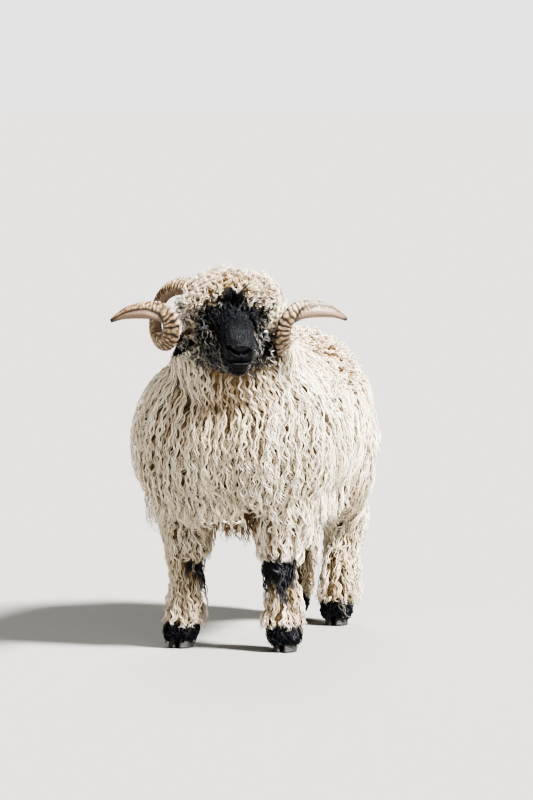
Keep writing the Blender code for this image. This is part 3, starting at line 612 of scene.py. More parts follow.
@dataclass
class Skin:
    """The ram's one skin: the bare body, with a finer head."""

    lofts: dict[str, Loft]
    body_voxel: float = 0.0086
    head_voxel: float = 0.0019
    obj: bpy.types.Object = field(init=False)
    tree: BVHTree = field(init=False)
    # One row for each triangle: its corners, their places on the map, its middle, its normal,
    # its area, the form it belongs to and how deep its coat is
    corners: np.ndarray = field(init=False)
    chart: np.ndarray = field(init=False)
    middle: np.ndarray = field(init=False)
    out: np.ndarray = field(init=False)
    area: np.ndarray = field(init=False)
    form: np.ndarray = field(init=False)
    coat: np.ndarray = field(init=False)
    # Soft forms of the head: where each is on the head's axes, and its reach along them
    CROWN: ClassVar = ((0.012, 0.003, 0.050), (0.048, 0.112, 0.080))
    NAPE: ClassVar = ((0.020, 0.0, -0.020), (0.046, 0.074, 0.062))
    CHIN: ClassVar = ((0.214, 0.0, -0.042), (0.028, 0.026, 0.020))
    NOSE: ClassVar = ((0.232, 0.0, -0.012), (0.020, 0.032, 0.016))

    def __post_init__(self) -> None:
        """Builds the skin and the tables that the coat reads."""
        body = self.build_body()
        self.obj = joined(body, self.build_head(), "UNION")
        self.obj.name = "skin"
        self.triangulate()
        self.unwrap()
        self.mark()
        self.survey()

    def build_body(self) -> bpy.types.Object:
        """The body without its head."""
        forms = [loft.surface(70, 48, FELT) for name, loft in self.lofts.items() if name != "head"]
        return fused("body", forms, self.body_voxel, 6)

    def build_head(self) -> bpy.types.Object:
        """The head, with its ears, lids, lips and nostrils."""
        forms = [self.lofts["head"].surface(90, 56)]
        for place, radii in (self.CROWN, self.NAPE, self.CHIN, self.NOSE):
            forms.append(egg(HEAD.at(*place), HEAD_AXES, radii))
        for side in Side:
            sign = side.value
            jaw = HEAD.at(0.060, 0.038 * sign, -0.025)
            brow = eye_centre(sign) + HEAD.up * 0.014 - HEAD.left * sign * 0.004
            forms.append(EARS[side].rings())
            forms.append(egg(jaw, HEAD_AXES, (0.055, 0.026, 0.045)))
            forms.append(egg(brow, HEAD_AXES, (0.022, 0.010, 0.008)))
        head = fused("head", forms, self.head_voxel, 5)
        lids = link("lids", closed_mesh("lids", [self.lid_rings(1), self.lid_rings(-1)], True))
        joined(head, lids, "UNION")
        for sign in (1, -1):
            centre, axes = eye_centre(sign), eye_axes(sign)
            socket = egg(centre, axes, (EYE_RADIUS + 0.0006,) * 3)
            opening = egg(centre + axes[2] * 0.012, axes, (0.0130, 0.0066, 0.012))
            for cutter in (socket, opening):
                joined(head, link("cutter", closed_mesh("cutter", [cutter])), "DIFFERENCE")
        self.carve(head.data)
        return head

    @staticmethod
    def lid_rings(sign: int) -> np.ndarray:
        """The two lids as one ring round the eye, longer than it is high."""
        along, high, outward = eye_axes(sign)
        turn = np.linspace(0, math.tau, 40, endpoint=False)[:, None]
        hub = outward * 0.0075 + along * 0.0165 * np.cos(turn) + high * 0.0105 * np.sin(turn)
        tube = np.linspace(0, math.tau, 10, endpoint=False)
        radial = unit(hub)[:, None]
        ring = radial * np.cos(tube)[:, None] + outward * np.sin(tube)[:, None]
        return eye_centre(sign) + hub[:, None] + 0.0045 * ring

    @staticmethod
    def carve(mesh: bpy.types.Mesh) -> None:
        """Presses the mouth, nostrils, philtrum and folds into the muzzle."""
        points, normals = read_points(mesh), read_points(mesh, "normal")
        along, across, above = HEAD.local(points)
        angle = np.arctan2(across / 0.060, (along - 0.190) / 0.075)
        level = -0.028 + 0.008 * (np.abs(angle) / math.radians(112)) ** 2
        gap = above - level
        reach = ease(math.radians(118), math.radians(100), np.abs(angle)) * ease(0.12, 0.15, along)
        move = reach * (-0.0048 * bell(gap, 0.0023) + 0.0016 * bell(gap - 0.0070, 0.0045))
        move += reach * 0.0026 * bell(gap + 0.0065, 0.0040)
        tip = ease(0.212, 0.232, along)
        run = np.clip((np.abs(across) - 0.006) / 0.022, 0.0, 1.0)
        slit = np.hypot(above - (-0.007 + 0.015 * run ** 1.4), np.abs(across) - (0.006 + 0.022 * run))
        move += tip * (-0.0085 * bell(slit, 0.0036) + 0.0016 * bell(slit - 0.008, 0.004) * (above > 0))
        below = ease(-0.030, -0.024, above) * ease(0.000, -0.006, above)
        move -= tip * below * 0.0028 * bell(across, 0.0014)
        move += 0.0005 * ripple(points, 0.018, 23) * ease(0.05, 0.12, along)
        points += normals * move[:, None]
        mesh.vertices.foreach_set("co", points.ravel())
        mesh.update()

    def triangulate(self) -> None:
        """Splits the skin into triangles and shades it smooth."""
        bm = bmesh.new()
        bm.from_mesh(self.obj.data)
        bmesh.ops.triangulate(bm, faces=bm.faces)
        bm.to_mesh(self.obj.data)
        bm.free()
        self.obj.data.shade_smooth()

    def unwrap(self) -> None:
        """Lays the skin out flat, as the map of the bake and of every tuft."""
        bpy.context.view_layer.objects.active = self.obj
        self.obj.select_set(True)
        self.obj.data.uv_layers.new(name="OFBake")
        bpy.ops.object.mode_set(mode="EDIT")
        bpy.ops.mesh.select_all(action="SELECT")
        bpy.ops.uv.smart_project(angle_limit=math.radians(70), island_margin=0.002)
        bpy.ops.object.mode_set(mode="OBJECT")
        mesh = self.obj.data
        loops = np.zeros(len(mesh.loops), np.int32)
        mesh.loops.foreach_get("vertex_index", loops)
        chart = np.zeros(len(mesh.loops) * 2, np.float32)
        mesh.uv_layers["OFBake"].data.foreach_get("uv", chart)
        self.corners = read_points(mesh)[loops].reshape(-1, 3, 3)
        self.chart = chart.reshape(-1, 3, 2)

    def mark(self) -> None:
        """Writes the markings on the skin's points."""
        mesh = self.obj.data
        points = read_points(mesh)
        write_values(mesh, "black", Markings.black(points))
        write_values(mesh, "sand", Markings.sand(points, read_points(mesh, "normal")))
        write_values(mesh, "soil", Markings.soil(points))

    def survey(self) -> None:
        """Measures every triangle, and finds which form it belongs to and how deep its coat is."""
        self.tree = BVHTree.FromObject(self.obj, bpy.context.evaluated_depsgraph_get())
        first, second, third = self.corners.transpose(1, 0, 2)
        cross = np.cross(second - first, third - first)
        self.middle = self.corners.mean(1)
        self.out = unit(cross)
        self.area = np.linalg.norm(cross, axis=1) / 2
        rings, count = 60, 28
        at = np.linspace(0.0, 1.0, rings)
        points, forms, coats = [], [], []
        for k, (name, loft) in enumerate(self.lofts.items()):
            share = 0.0 if name == "head" else FELT
            points.append(loft.grid(at, count, share).reshape(-1, 3))
            forms.append(np.full(rings * count, k))
            coats.append(np.repeat(smooth(loft.sizes, at)[:, 3] * (1 - share), count))
        points, forms, coats = (np.concatenate(v) for v in (points, forms, coats))
        near = KDTree(len(points))
        for k, point in enumerate(points):
            near.insert(point, k)
        near.balance()
        index = np.array([near.find(middle)[1] for middle in self.middle])
        self.form = np.array(list(self.lofts))[forms[index]]
        along, across, above = HEAD.local(self.middle)
        jaw = bell(along - 0.08, 0.12) * ease(-0.26, -0.12, above) * bell(across, 0.09)
        self.coat = coats[index] * (1 - 0.75 * jaw)

    def scatter(self, keep: np.ndarray, spacing: float, seed: int) -> Roots:
        """Roots spread evenly over some of the skin's triangles.

        Args:
            keep: Which triangles they stand on.
            spacing: How far apart they are.
            seed: The seed of their chance.

        Returns:
            The roots, with the room that the body's coat has over each.
        """
        tries, closest = 5, 0.82 * spacing  # tries for each place, and how near two may be
        draw = np.random.default_rng(seed)
        chosen = np.nonzero(keep)[0]
        area = self.area[chosen]
        count = int(area.sum() / spacing ** 2 * tries)
        face = chosen[draw.choice(len(chosen), count, p=area / area.sum())]
        u, v = draw.uniform(0, 1, (2, count, 1))
        fold = (u + v) > 1
        u, v = np.where(fold, 1 - u, u), np.where(fold, 1 - v, v)
        share = np.stack([1 - u - v, u, v], 1)
        points = (self.corners[face] * share).sum(1)
        tree = KDTree(count)
        for k, point in enumerate(points):
            tree.insert(point, k)
        tree.balance()
        free = np.ones(count, bool)
        kept = []
        for k, point in enumerate(points):
            if free[k]:
                kept.append(k)
                free[[near for _, near, _ in tree.find_range(point, closest)]] = False
        face, share = face[kept], share[kept]
        return Roots(points[kept], self.out[face], self.coat[face], (self.chart[face] * share).sum(1))

    def nearest(self, points: np.ndarray) -> tuple[np.ndarray, np.ndarray]:
        """The nearest places on the skin, and its normals there."""
        places, normals = np.empty_like(points), np.empty_like(points)
        for i, point in enumerate(points):
            places[i], normals[i], _, _ = self.tree.find_nearest(Vector(point))
        return places, normals


@dataclass(frozen=True)
class Lock:
    """How one kind of lock grows: a hank of strands that wave together."""

    spacing: float  # from lock to lock
    strands: int
    length: float
    segments: int  # in each strand
    width: float  # half a strand's thickness
    wave: float  # from one wave to the next
    swing: float  # how far a wave reaches
    helix: float  # 0 waves flat, 1 coils
    spread: float  # half a hank's thickness at its root
    gather: float  # how much of that is gone at its tip
    climb: float  # where along it a hank has reached its height
    hang: float  # how much its tip hangs straight down
    low: float = 0.45  # the lowest hank's height, as a share of the room
    high: float = 1.0
    curl: float = 0.8  # how much wider the tip waves
    flatness: float = 0.7
    pull: float = 0.8  # how much of a rise off the coat is taken back at each step
    order: float = 0.0  # how much neighbours wave together
    drape: float = 0.0  # how much it hangs free where the body turns under
    hook: float = 0.0  # how much a hanging tip curls aside


BACK_CURL = Lock(0.0134, 3, 0.021, 5, 0.0017, 0.0125, 0.0028, 1.0, 0.006, 0.2, 0.5, 0.1, 0.5)
FLANK_LOCK = Lock(0.0182, 3, 0.095, 11, 0.0015, 0.034, 0.0027, 0.4, 0.0045, 0.45, 0.35, 0.25,
                  order=0.9)
CHEST_LOCK = Lock(0.0154, 3, 0.140, 16, 0.0015, 0.037, 0.0040, 0.5, 0.0036, 0.5, 0.30, 0.30, curl=1.6,
                  pull=0.25, order=0.85)
FRINGE_LOCK = Lock(0.0150, 5, 0.080, 12, 0.0017, 0.036, 0.0036, 0.5, 0.0050, 0.4, 0.30, 0.50, curl=1.6,
                   pull=0.1, order=0.7, drape=1.0, hook=0.8)
NECK_LOCK = Lock(0.0162, 3, 0.125, 15, 0.0015, 0.037, 0.0035, 0.5, 0.0040, 0.5, 0.30, 0.25, pull=0.6,
                 order=0.85)
BELLY_LOCK = Lock(0.021, 3, 0.105, 8, 0.0017, 0.034, 0.0040, 0.4, 0.012, 0.6, 0.5, 0.8, pull=0.3,
                  drape=1.0)
THIGH_LOCK = Lock(0.0205, 4, 0.090, 10, 0.0016, 0.036, 0.0036, 0.4, 0.0080, 0.45, 0.35, 0.25, 0.3,
                  order=0.9)
LEG_LOCK = Lock(0.0160, 4, 0.066, 9, 0.0017, 0.029, 0.0034, 0.5, 0.0085, 0.3, 0.35, 0.2, 0.15, curl=1.5,
                order=0.6)
TAIL_LOCK = Lock(0.0200, 3, 0.095, 13, 0.0017, 0.030, 0.0040, 0.5, 0.008, 0.5, 0.35, 0.3, 0.3)
CROWN_RINGLET = Lock(0.0115, 5, 0.050, 17, 0.0010, 0.0178, 0.0044, 1.0, 0.0045, 0.3, 0.5, 0.05, 0.35,
                     curl=0.2)
CHEEK_CURL = Lock(0.0125, 4, 0.054, 13, 0.0012, 0.0235, 0.0050, 0.9, 0.004, 0.4, 0.5, 0.35, 0.4,
                  curl=0.4)
THROAT_LOCK = Lock(0.0160, 4, 0.095, 14, 0.0014, 0.032, 0.0040, 0.5, 0.006, 0.5, 0.4, 0.35, 0.3, curl=1.0,
                   order=0.6)
FACE_HAIR = Lock(0.0058, 2, 0.013, 3, 0.0009, 0.030, 0.0004, 0.0, 0.003, 0.1, 0.9, 0.0, 0.5, curl=0.0)
BROW_HAIR = Lock(0.0080, 5, 0.044, 7, 0.0009, 0.044, 0.0022, 0.4, 0.004, 0.9, 0.7, 0.0, 0.4, curl=0.5)
CHIN_HAIR = Lock(0.0090, 4, 0.040, 7, 0.0010, 0.026, 0.0026, 0.4, 0.004, 0.6, 0.7, 0.5, 0.4, curl=0.3)
EAR_HAIR = Lock(0.0080, 3, 0.018, 3, 0.0009, 0.030, 0.0010, 0.0, 0.004, 0.1, 0.9, 0.2, 0.7, curl=0.0)
FOOT_HAIR = Lock(0.0085, 4, 0.050, 6, 0.0014, 0.024, 0.0046, 0.5, 0.005, 0.5, 0.6, 0.5, 0.3, curl=1.0)


@dataclass
class Strands:
    """Strands of one kind: their centre lines, thicknesses and colours."""

    centre: np.ndarray
    side: np.ndarray
    up: np.ndarray
    radius: np.ndarray
    chart: np.ndarray  # their places on the skin's map
    values: dict[str, np.ndarray]  # the numbers that the finishes read
    flatness: float

    def __len__(self) -> int:
        """How many strands there are."""
        return len(self.centre)

    def part(self, keep: slice) -> "Strands":
        """Some of the strands."""
        lines = (v[keep] for v in (self.centre, self.side, self.up, self.radius, self.chart))
        values = {name: v[keep] for name, v in self.values.items()}
        return Strands(*lines, values, self.flatness)

    def triangles(self) -> int:
        """Triangles in one strand."""
        return 6 * (self.centre.shape[1] - 1) - 2


def coin(values: np.ndarray) -> np.ndarray:
    """A 1 or -1 for each value, as if tossed."""
    return np.sign(np.sin(9.7e3 * values))


def guide_lines(skin: Skin, roots: Roots, flow: np.ndarray, lock: Lock, height: np.ndarray,
                length: np.ndarray) -> tuple[np.ndarray, np.ndarray]:
    """The line of each lock, from its root along the coat's lie.

    Args:
        skin: What the locks grow on and are pushed out of.
        roots: Where they grow.
        flow: Which way each lies at its root.
        lock: Their kind.
        height: How far each stands off the skin.
        length: How long each is.

    Returns:
        The lines' points and the skin's normals by them.
    """
    normal = roots.out
    along = flat_on(flow, normal)
    aside = flat_on(np.cross(DOWN, normal), DOWN) * coin(length)[:, None]
    step = (length / lock.segments)[:, None]
    at = roots.points
    points, normals = [at - normal * ROOT_DEPTH], [normal]
    for k in range(1, lock.segments + 1):
        s = k / lock.segments
        free = lock.drape * ease(-0.10, -0.50, normal[:, 2:])
        fall = np.maximum(lock.hang * s, free)
        hook = lock.hook * 2.2 * max(s - 0.65, 0.0) ** 1.5 / 0.35 ** 1.5
        lift = DOWN * hook * max(s - 0.8, 0) * 4
        at = at + unit(along * (1 - fall) + DOWN * fall + aside * hook - lift) * step
        near, normal = skin.nearest(at)
        rise = 1 - (1 - min(s / lock.climb, 1.0)) ** 2
        short = height[:, None] * rise - dot(at - near, normal)
        at = at + normal * np.where(short > 0, short, short * lock.pull * (1 - lock.hang) * (1 - free))
        at[:, 2] = np.maximum(at[:, 2], HAIR_FLOOR + 0.002)
        along = flat_on(along, normal)
        points.append(at)
        normals.append(normal)
    return np.stack(points, 1), np.stack(normals, 1)


def column(values: np.ndarray, times: int) -> np.ndarray:
    """The values of locks, once for each of a lock's strands, as a column."""
    return np.repeat(values, times)[:, None]


def grow(skin: Skin, roots: Roots, flow: np.ndarray, lock: Lock, seed: int,
         length: np.ndarray) -> Strands:
    """Locks of wavy strands on some roots.

    Args:
        skin: What they grow on.
        roots: Where they grow.
        flow: Which way each lies at its root.
        lock: Their kind.
        seed: The seed of their chance.
        length: How long each is.

    Returns:
        The strands.
    """
    draw = np.random.default_rng(seed)
    count, rings = len(roots), lock.segments + 1
    layer = draw.uniform(lock.low, lock.high, count)
    long = length * draw.uniform(0.8, 1.2, count)
    room = np.maximum(roots.room * layer - lock.swing, 0.001)
    line, normal = guide_lines(skin, roots, flow, lock, room, long)
    many = lock.strands
    line, normal, chart = (np.repeat(v, many, 0) for v in (line, normal, roots.chart))
    total = count * many
    ahead = unit(np.gradient(line, axis=1))
    side = unit(np.cross(normal, ahead))
    up = np.cross(ahead, side)
    s = np.linspace(0, 1, rings)[None]
    # Where in its hank each strand is
    angle = draw.uniform(0, math.tau, total)[:, None]
    apart = lock.spread * np.sqrt(draw.uniform(0, 1, total))[:, None]
    close = apart * (1 - lock.gather * s ** 1.3)
    # Its waves, which neighbours share where the kind is orderly
    base, chance = roots.points, draw.uniform(-math.pi, math.pi, count)
    shared = 4.0 * ripple(base, 0.09, 31) - math.tau * base[:, 2] / lock.wave + 0.3 * chance
    phase = column(np.where(draw.uniform(0, 1, count) < lock.order, shared, chance), many)
    phase = phase + draw.normal(0, 0.35, (total, 1))
    vary = 0.22 - 0.14 * lock.order
    pitch = column(draw.uniform(1 - vary, 1 + vary, count), many) * draw.uniform(0.96, 1.04, (total, 1))
    turn = phase + math.tau * s * column(long, many) / (lock.wave * pitch)
    wide = column(draw.uniform(0.6, 1.3, count), many)
    swing = lock.swing * wide * np.minimum(s / 0.25, 1.0) * (0.8 + lock.curl * ease(0.55, 1.0, s))
    drift = lock.swing * 0.6 * s * draw.normal(0, 1, (total, 1))
    sweep = lock.swing * 0.9 * np.sin(turn * 0.37 + column(angle[::many, 0], many))
    across = close * np.cos(angle) + swing * np.sin(turn) + drift + sweep * np.minimum(s / 0.3, 1)
    out = close * np.sin(angle) * 0.5 * np.minimum(s / 0.2, 1) + swing * lock.helix * np.cos(turn)
    # Its line, with directions of its own
    centre = line + side * across[..., None] + up * out[..., None]
    centre[..., 2] = np.maximum(centre[..., 2], HAIR_FLOOR)
    ahead = unit(np.gradient(centre, axis=1))
    side = unit(np.cross(up, ahead))
    up = np.cross(ahead, side)
    taper = np.sqrt(np.clip(1 - s ** 2.2, 0, 1)) * (0.75 + 0.25 * np.minimum(s / 0.3, 1))
    radius = lock.width * draw.uniform(0.7, 1.3, (total, 1)) * taper
    # Its colours: a deep lock is yellower with grease and darker as painted shade under the outer locks
    root = line[:, 0]
    depth = (lock.high - layer) / (lock.high - lock.low)
    tone = np.repeat(0.25 * draw.uniform(0, 1, count) + 0.25 * depth, many)
    tone = tone + 0.35 * draw.uniform(0, 1, total) + 0.15 * (0.5 + 0.5 * ripple(root, 0.12, 29))
    whole = {"tone": tone, "black": Markings.black(root), "sand": Markings.sand(root, normal[:, 0])}
    values = {"along": np.repeat(s, total, 0)}
    values |= {name: np.repeat(v[:, None], rings, 1) for name, v in whole.items()}
    values["soil"] = Markings.soil(centre)
    return Strands(centre, side, up, radius, chart, values, lock.flatness)


def strand_mesh(name: str, strands: Strands) -> bpy.types.Mesh:
    """Three-sided solid strands that taper to a point, as one mesh.

    Args:
        name: The mesh's name.
        strands: What it is made of.

    Returns:
        The mesh, with the strands' values on its points and the map OFBake.
    """
    total, rings = strands.centre.shape[:2]
    rings -= 1
    angle = math.pi / 2 + np.arange(3) * math.tau / 3
    reach = strands.side[:, :rings, None] * np.cos(angle)[:, None]
    reach = reach + strands.up[:, :rings, None] * np.sin(angle)[:, None] * strands.flatness
    ring = strands.centre[:, :rings, None] + reach * strands.radius[:, :rings, None, None]
    points = np.concatenate([ring.reshape(total, rings * 3, 3), strands.centre[:, rings:]], 1)
    # One strand's faces: its root, its sides and its tip
    loops, starts, chart = [2, 1, 0], [0], [(0.5, 0.0)] * 3
    for k in range(rings - 1):
        for j in range(3):
            n = (j + 1) % 3
            starts.append(len(loops))
            loops += [3 * k + j, 3 * k + n, 3 * k + 3 + n, 3 * k + 3 + j]
            low, high = k / rings, (k + 1) / rings
            chart += [(j / 3, low), ((j + 1) / 3, low), ((j + 1) / 3, high), (j / 3, high)]
    for j in range(3):
        starts.append(len(loops))
        loops += [3 * rings - 3 + j, 3 * rings - 3 + (j + 1) % 3, 3 * rings]
        chart += [(j / 3, 1 - 1 / rings), ((j + 1) / 3, 1 - 1 / rings), ((j + 0.5) / 3, 1.0)]
    shift = np.arange(total)[:, None]
    mesh = bpy.data.meshes.new(name)
    mesh.vertices.add(total * (rings * 3 + 1))
    mesh.vertices.foreach_set("co", points.astype(np.float32).ravel())
    mesh.loops.add(total * len(loops))
    mesh.loops.foreach_set("vertex_index", (np.array(loops) + shift * (rings * 3 + 1)).ravel())
    mesh.polygons.add(total * len(starts))
    mesh.polygons.foreach_set("loop_start", (np.array(starts) + shift * len(loops)).ravel())
    mesh.update(calc_edges=True)
    layer = mesh.uv_layers.new(name="OFBake")
    spread = strands.chart[:, None] + (np.array(chart) - 0.5)[None] * PATCH
    layer.data.foreach_set("uv", spread.astype(np.float32).ravel())
    for key, values in strands.values.items():
        corner = np.repeat(values[:, :rings], 3, 1)
        write_values(mesh, key, np.concatenate([corner, values[:, rings:]], 1))
    mesh.shade_smooth()
    return mesh


def linear(code: str) -> tuple[float, float, float, float]:
    """An sRGB hex colour as linear red, green, blue and alpha."""
    parts = (int(code.lstrip("#")[i:i + 2], 16) / 255 for i in (0, 2, 4))
    return (*(c / 12.92 if c <= 0.04045 else ((c + 0.055) / 1.055) ** 2.4 for c in parts), 1.0)


def per_metre(millimetres: float) -> float:
    """The scale of a noise whose grains are so wide."""
    return 1000.0 / millimetres


def add_node(tree: bpy.types.NodeTree, kind: str, settings: dict) -> bpy.types.Node:
    """Adds a shader node with its settings and links.

    Args:
        tree: The tree it goes in.
        kind: The node's type, after "ShaderNode".
        settings: What its properties and inputs are set to, by name or place. A socket, or a
            node for its first output in use, is linked to the input, and a hex code is a
            colour. "stops" are the places and colours of a colour ramp.

    Returns:
        The node.
    """
    node = tree.nodes.new(f"ShaderNode{kind}")
    for key, value in settings.items():
        if key == "stops":
            elements = node.color_ramp.elements
            for spare in list(elements)[1:]:
                elements.remove(spare)
            for i, (place, code) in enumerate(value):
                element = elements[0] if i == 0 else elements.new(place)
                element.position = place
                element.color = linear(code)
        elif isinstance(value, bpy.types.Node):
            tree.links.new(next(output for output in value.outputs if output.enabled), node.inputs[key])
        elif isinstance(value, bpy.types.NodeSocket):
            tree.links.new(value, node.inputs[key])
        elif isinstance(key, str) and hasattr(node, key):
            setattr(node, key, value)
        else:
            node.inputs[key].default_value = linear(value) if isinstance(value, str) else value
    return node


Adder = Callable[[str, dict], bpy.types.Node]
Marks = dict[str, bpy.types.NodeSocket]


@dataclass(frozen=True)
class Finish:
    """A surface, named for what it is and how it was made."""

    title: ClassVar[str]
    marks: ClassVar[tuple[str, ...]] = ()  # the numbers on a mesh's points that it reads

    def inputs(self, add: Adder, marks: Marks) -> dict:
        """What the shader is fed.

        Args:
            add: Adds a node of a kind, with its settings and links.
            marks: The outputs that give the numbers on the mesh's points.

        Returns:
            A value, node or socket for each input of the shader.
        """
        raise NotImplementedError

    def material(self) -> bpy.types.Material:
        """The surface as a new material."""
        material = bpy.data.materials.new(self.title)
        material.use_nodes = True
        material.node_tree.nodes.clear()
        add = partial(add_node, material.node_tree)
        marks = {name: add("Attribute", {"attribute_name": name}).outputs["Fac"] for name in self.marks}
        shader = add("BsdfPrincipled", self.inputs(add, marks))
        add("OutputMaterial", {"Surface": shader})
        return material


@dataclass(frozen=True)
class Wool(Finish):
    """Sheep's wool, grown and weathered: matt, pale and yellower where the grease gathers.

    Roots are grey-brown with dust and darker still as painted shade deep in the coat, the
    middle is cream and the tips are bleached. The sun has dried the back to sand, and the
    lower legs are soiled. The blacknose markings are black wool, its tips painted grey as
    highlights. Each lock has its own tone, and a deep lock is darker as painted shade.
    """

    title: ClassVar[str] = "wool_grown_weathered"
    marks: ClassVar[tuple[str, ...]] = ("along", "tone", "sand", "soil", "black")
    # the roots' grey-brown is partly dust and partly painted shade deep in the coat
    root: str = "#5f4c36"
    cream: str = "#f3e9d5"
    straw: str = "#c2a983"
    tip: str = "#fffaf0"
    sand: str = "#cdb18a"
    # the sandy roots' dark is partly dust and partly painted shade deep in the coat
    sand_root: str = "#6f5034"
    soil: str = "#8f7048"
    black: str = "#0b0b0e"
    # the black wool's grey tips are painted highlights
    black_tip: str = "#55565b"
    roughness: float = 0.68
    sheen: float = 0.06
    fibre: float = 1.6  # millimetres: coarser than the real 0.04 mm, so that it shows

    def inputs(self, add: Adder, marks: Marks) -> dict:
        """Cream from a root darkened with dust and painted shade to the tip, then straw, sand, soil and
        black over it, the black's tips painted grey as highlights.
        """
        ramps = (
            [(0.0, self.root), (0.42, self.cream), (0.8, self.cream), (1.0, self.tip)],
            [(0.0, self.sand_root), (0.45, self.sand), (1.0, self.cream)],
            [(0.0, self.black), (0.35, self.black), (1.0, self.black_tip)],
        )
        colour, sandy_dust_shade, dark = (add("ValToRGB", {"stops": stops, "Fac": marks["along"]}) for stops in ramps)
        tone = {"From Min": 0.35, "From Max": 0.9, "To Max": 0.85, "Value": marks["tone"]}
        layers = (
            (add("MapRange", tone), self.straw), (marks["sand"], sandy_dust_shade), (marks["soil"], self.soil),
            (marks["black"], dark),
        )
        for share, over in layers:
            colour = add("Mix", {"data_type": "RGBA", 0: share, 6: colour, 7: over})
        where = add("TexCoord", {}).outputs["Object"]
        grain = add("TexNoise", {"Scale": per_metre(self.fibre), "Detail": 2.0, "Vector": where})
        bump = add("Bump", {"Strength": 0.35, "Distance": 0.0006, "Height": grain})
        return {
            "Base Color": colour, "Normal": bump, "Roughness": self.roughness, "Sheen Weight": self.sheen,
            "Sheen Roughness": 0.5, "Specular IOR Level": 0.4,
        }


@dataclass(frozen=True)
class BlackHair(Finish):
    """Short black face hair, grown and groomed flat: deep black with a cool gloss, its tips painted bluish
    as sheen.
    """

    title: ClassVar[str] = "hair_black_short"
    marks: ClassVar[tuple[str, ...]] = ("along",)
    base: str = "#030304"
    # the tip's bluish grey is painted sheen
    tip: str = "#23252c"
    roughness: float = 0.48

    def inputs(self, add: Adder, marks: Marks) -> dict:
        """Black that pales to a bluish tip, painted as sheen."""
        colour = add("ValToRGB", {"stops": [(0.0, self.base), (1.0, self.tip)], "Fac": marks["along"]})
        return {"Base Color": colour, "Roughness": self.roughness, "Specular IOR Level": 0.3}


@dataclass(frozen=True)
class SkinHide(Finish):
    """Matt, lumpy hide and matted wool under the locks, in grey-brown painted shade, black under the
    markings.
    """

    title: ClassVar[str] = "hide_short_haired"
    marks: ClassVar[tuple[str, ...]] = ("black", "sand", "soil")
    # pale and shade: the grey-browns are painted shade under the coat, the darker one in the felt's hollows
    pale: str = "#ab9876"
    sand: str = "#a3875f"
    shade: str = "#5a4830"
    soil: str = "#5e4529"
    black: str = "#040509"
    felt: float = 5.0  # millimetres from lump to lump of the matted wool
    felt_depth: float = 0.008
    pore: float = 1.2  # millimetres between the short hairs' roots

    def inputs(self, add: Adder, marks: Marks) -> dict:
        """Lumpy felt where the wool grows, painted in shade that deepens in its hollows, and fine pores all
        over.
        """
        where = add("TexCoord", {}).outputs["Object"]
        lumps = add("TexNoise", {
            "Scale": per_metre(self.felt), "Detail": 4.0, "Distortion": 1.2, "Vector": where})
        raised = add("MapRange", {"From Min": 0.38, "From Max": 0.60, "Value": lumps})
        colour = self.pale
        for share, over in ((marks["sand"], self.sand), (marks["soil"], self.soil)):
            colour = add("Mix", {"data_type": "RGBA", 0: share, 6: colour, 7: over})
        # painted shade in the hollows between the felt's lumps
        felt_shaded = add("Mix", {"data_type": "RGBA", 0: raised, 6: self.shade, 7: colour})
        colour = add("Mix", {"data_type": "RGBA", 0: marks["black"], 6: felt_shaded, 7: self.black})
        woolly = add("Math", {"operation": "SUBTRACT", 0: 1.0, 1: marks["black"]})
        height = add("Math", {"operation": "MULTIPLY", 0: lumps, 1: woolly})
        felt = add("Bump", {"Strength": 0.9, "Distance": self.felt_depth, "Height": height})
        pores = add("TexVoronoi", {"Scale": per_metre(self.pore), "Vector": where})
        bump = add("Bump", {"Strength": 0.5, "Distance": 0.0005, "Height": pores, "Normal": felt})
        return {"Base Color": colour, "Normal": bump, "Roughness": 0.6, "Specular IOR Level": 0.2}


@dataclass(frozen=True)
class HornKeratin(Finish):
    """Horn, grown in yearly ridges and rubbed: waxy beige, its furrows painted dark with dirt and shade.

    The face turned to the head is smooth and pinkish grey. The tip, a line under the keel and a band below
    the front limb are painted shade.
    """

    title: ClassVar[str] = "horn_keratin_ridged"
    marks: ClassVar[tuple[str, ...]] = ("inner", "groove", "dark")
    crest: str = "#cfb28d"
    body: str = "#6b5038"
    inner: str = "#8c7562"
    furrow: str = "#130b06"
    # painted shade at the tip, under the keel and below the front limb
    dark: str = "#1a110c"
    blotch: float = 9.0  # millimetres from one worn patch to the next
    fibre: float = 2.2  # millimetres between the fine lines in the horn
    roughness: float = 0.48

    def inputs(self, add: Adder, marks: Marks) -> dict:
        """Blotched beige with dirt and painted shade in the furrows, and painted shade under the keel and
        towards the tip.
        """
        where = add("TexCoord", {}).outputs["Object"]
        blotch = add("TexNoise", {"Scale": per_metre(self.blotch), "Detail": 5.0, "Vector": where})
        fine = add("TexNoise", {"Scale": per_metre(self.fibre), "Detail": 3.0, "Vector": where})
        spread = add("MapRange", {"From Min": 0.38, "From Max": 0.62, "Value": blotch})
        dirt = add("Math", {"operation": "MULTIPLY_ADD", 0: fine, 1: 0.5, 2: -0.16})
        ridge = add("Math", {"operation": "ADD", "use_clamp": True, 0: marks["groove"], 1: dirt})
        colour = self.body
        layers = (
            (spread, self.crest), (marks["inner"], self.inner), (ridge, self.furrow),
            (marks["dark"], self.dark),
        )
        for share, over in layers:
            colour = add("Mix", {"data_type": "RGBA", 0: share, 6: colour, 7: over})
        bump = add("Bump", {"Strength": 0.4, "Distance": 0.0006, "Height": fine})
        return {"Base Color": colour, "Normal": bump, "Roughness": self.roughness}


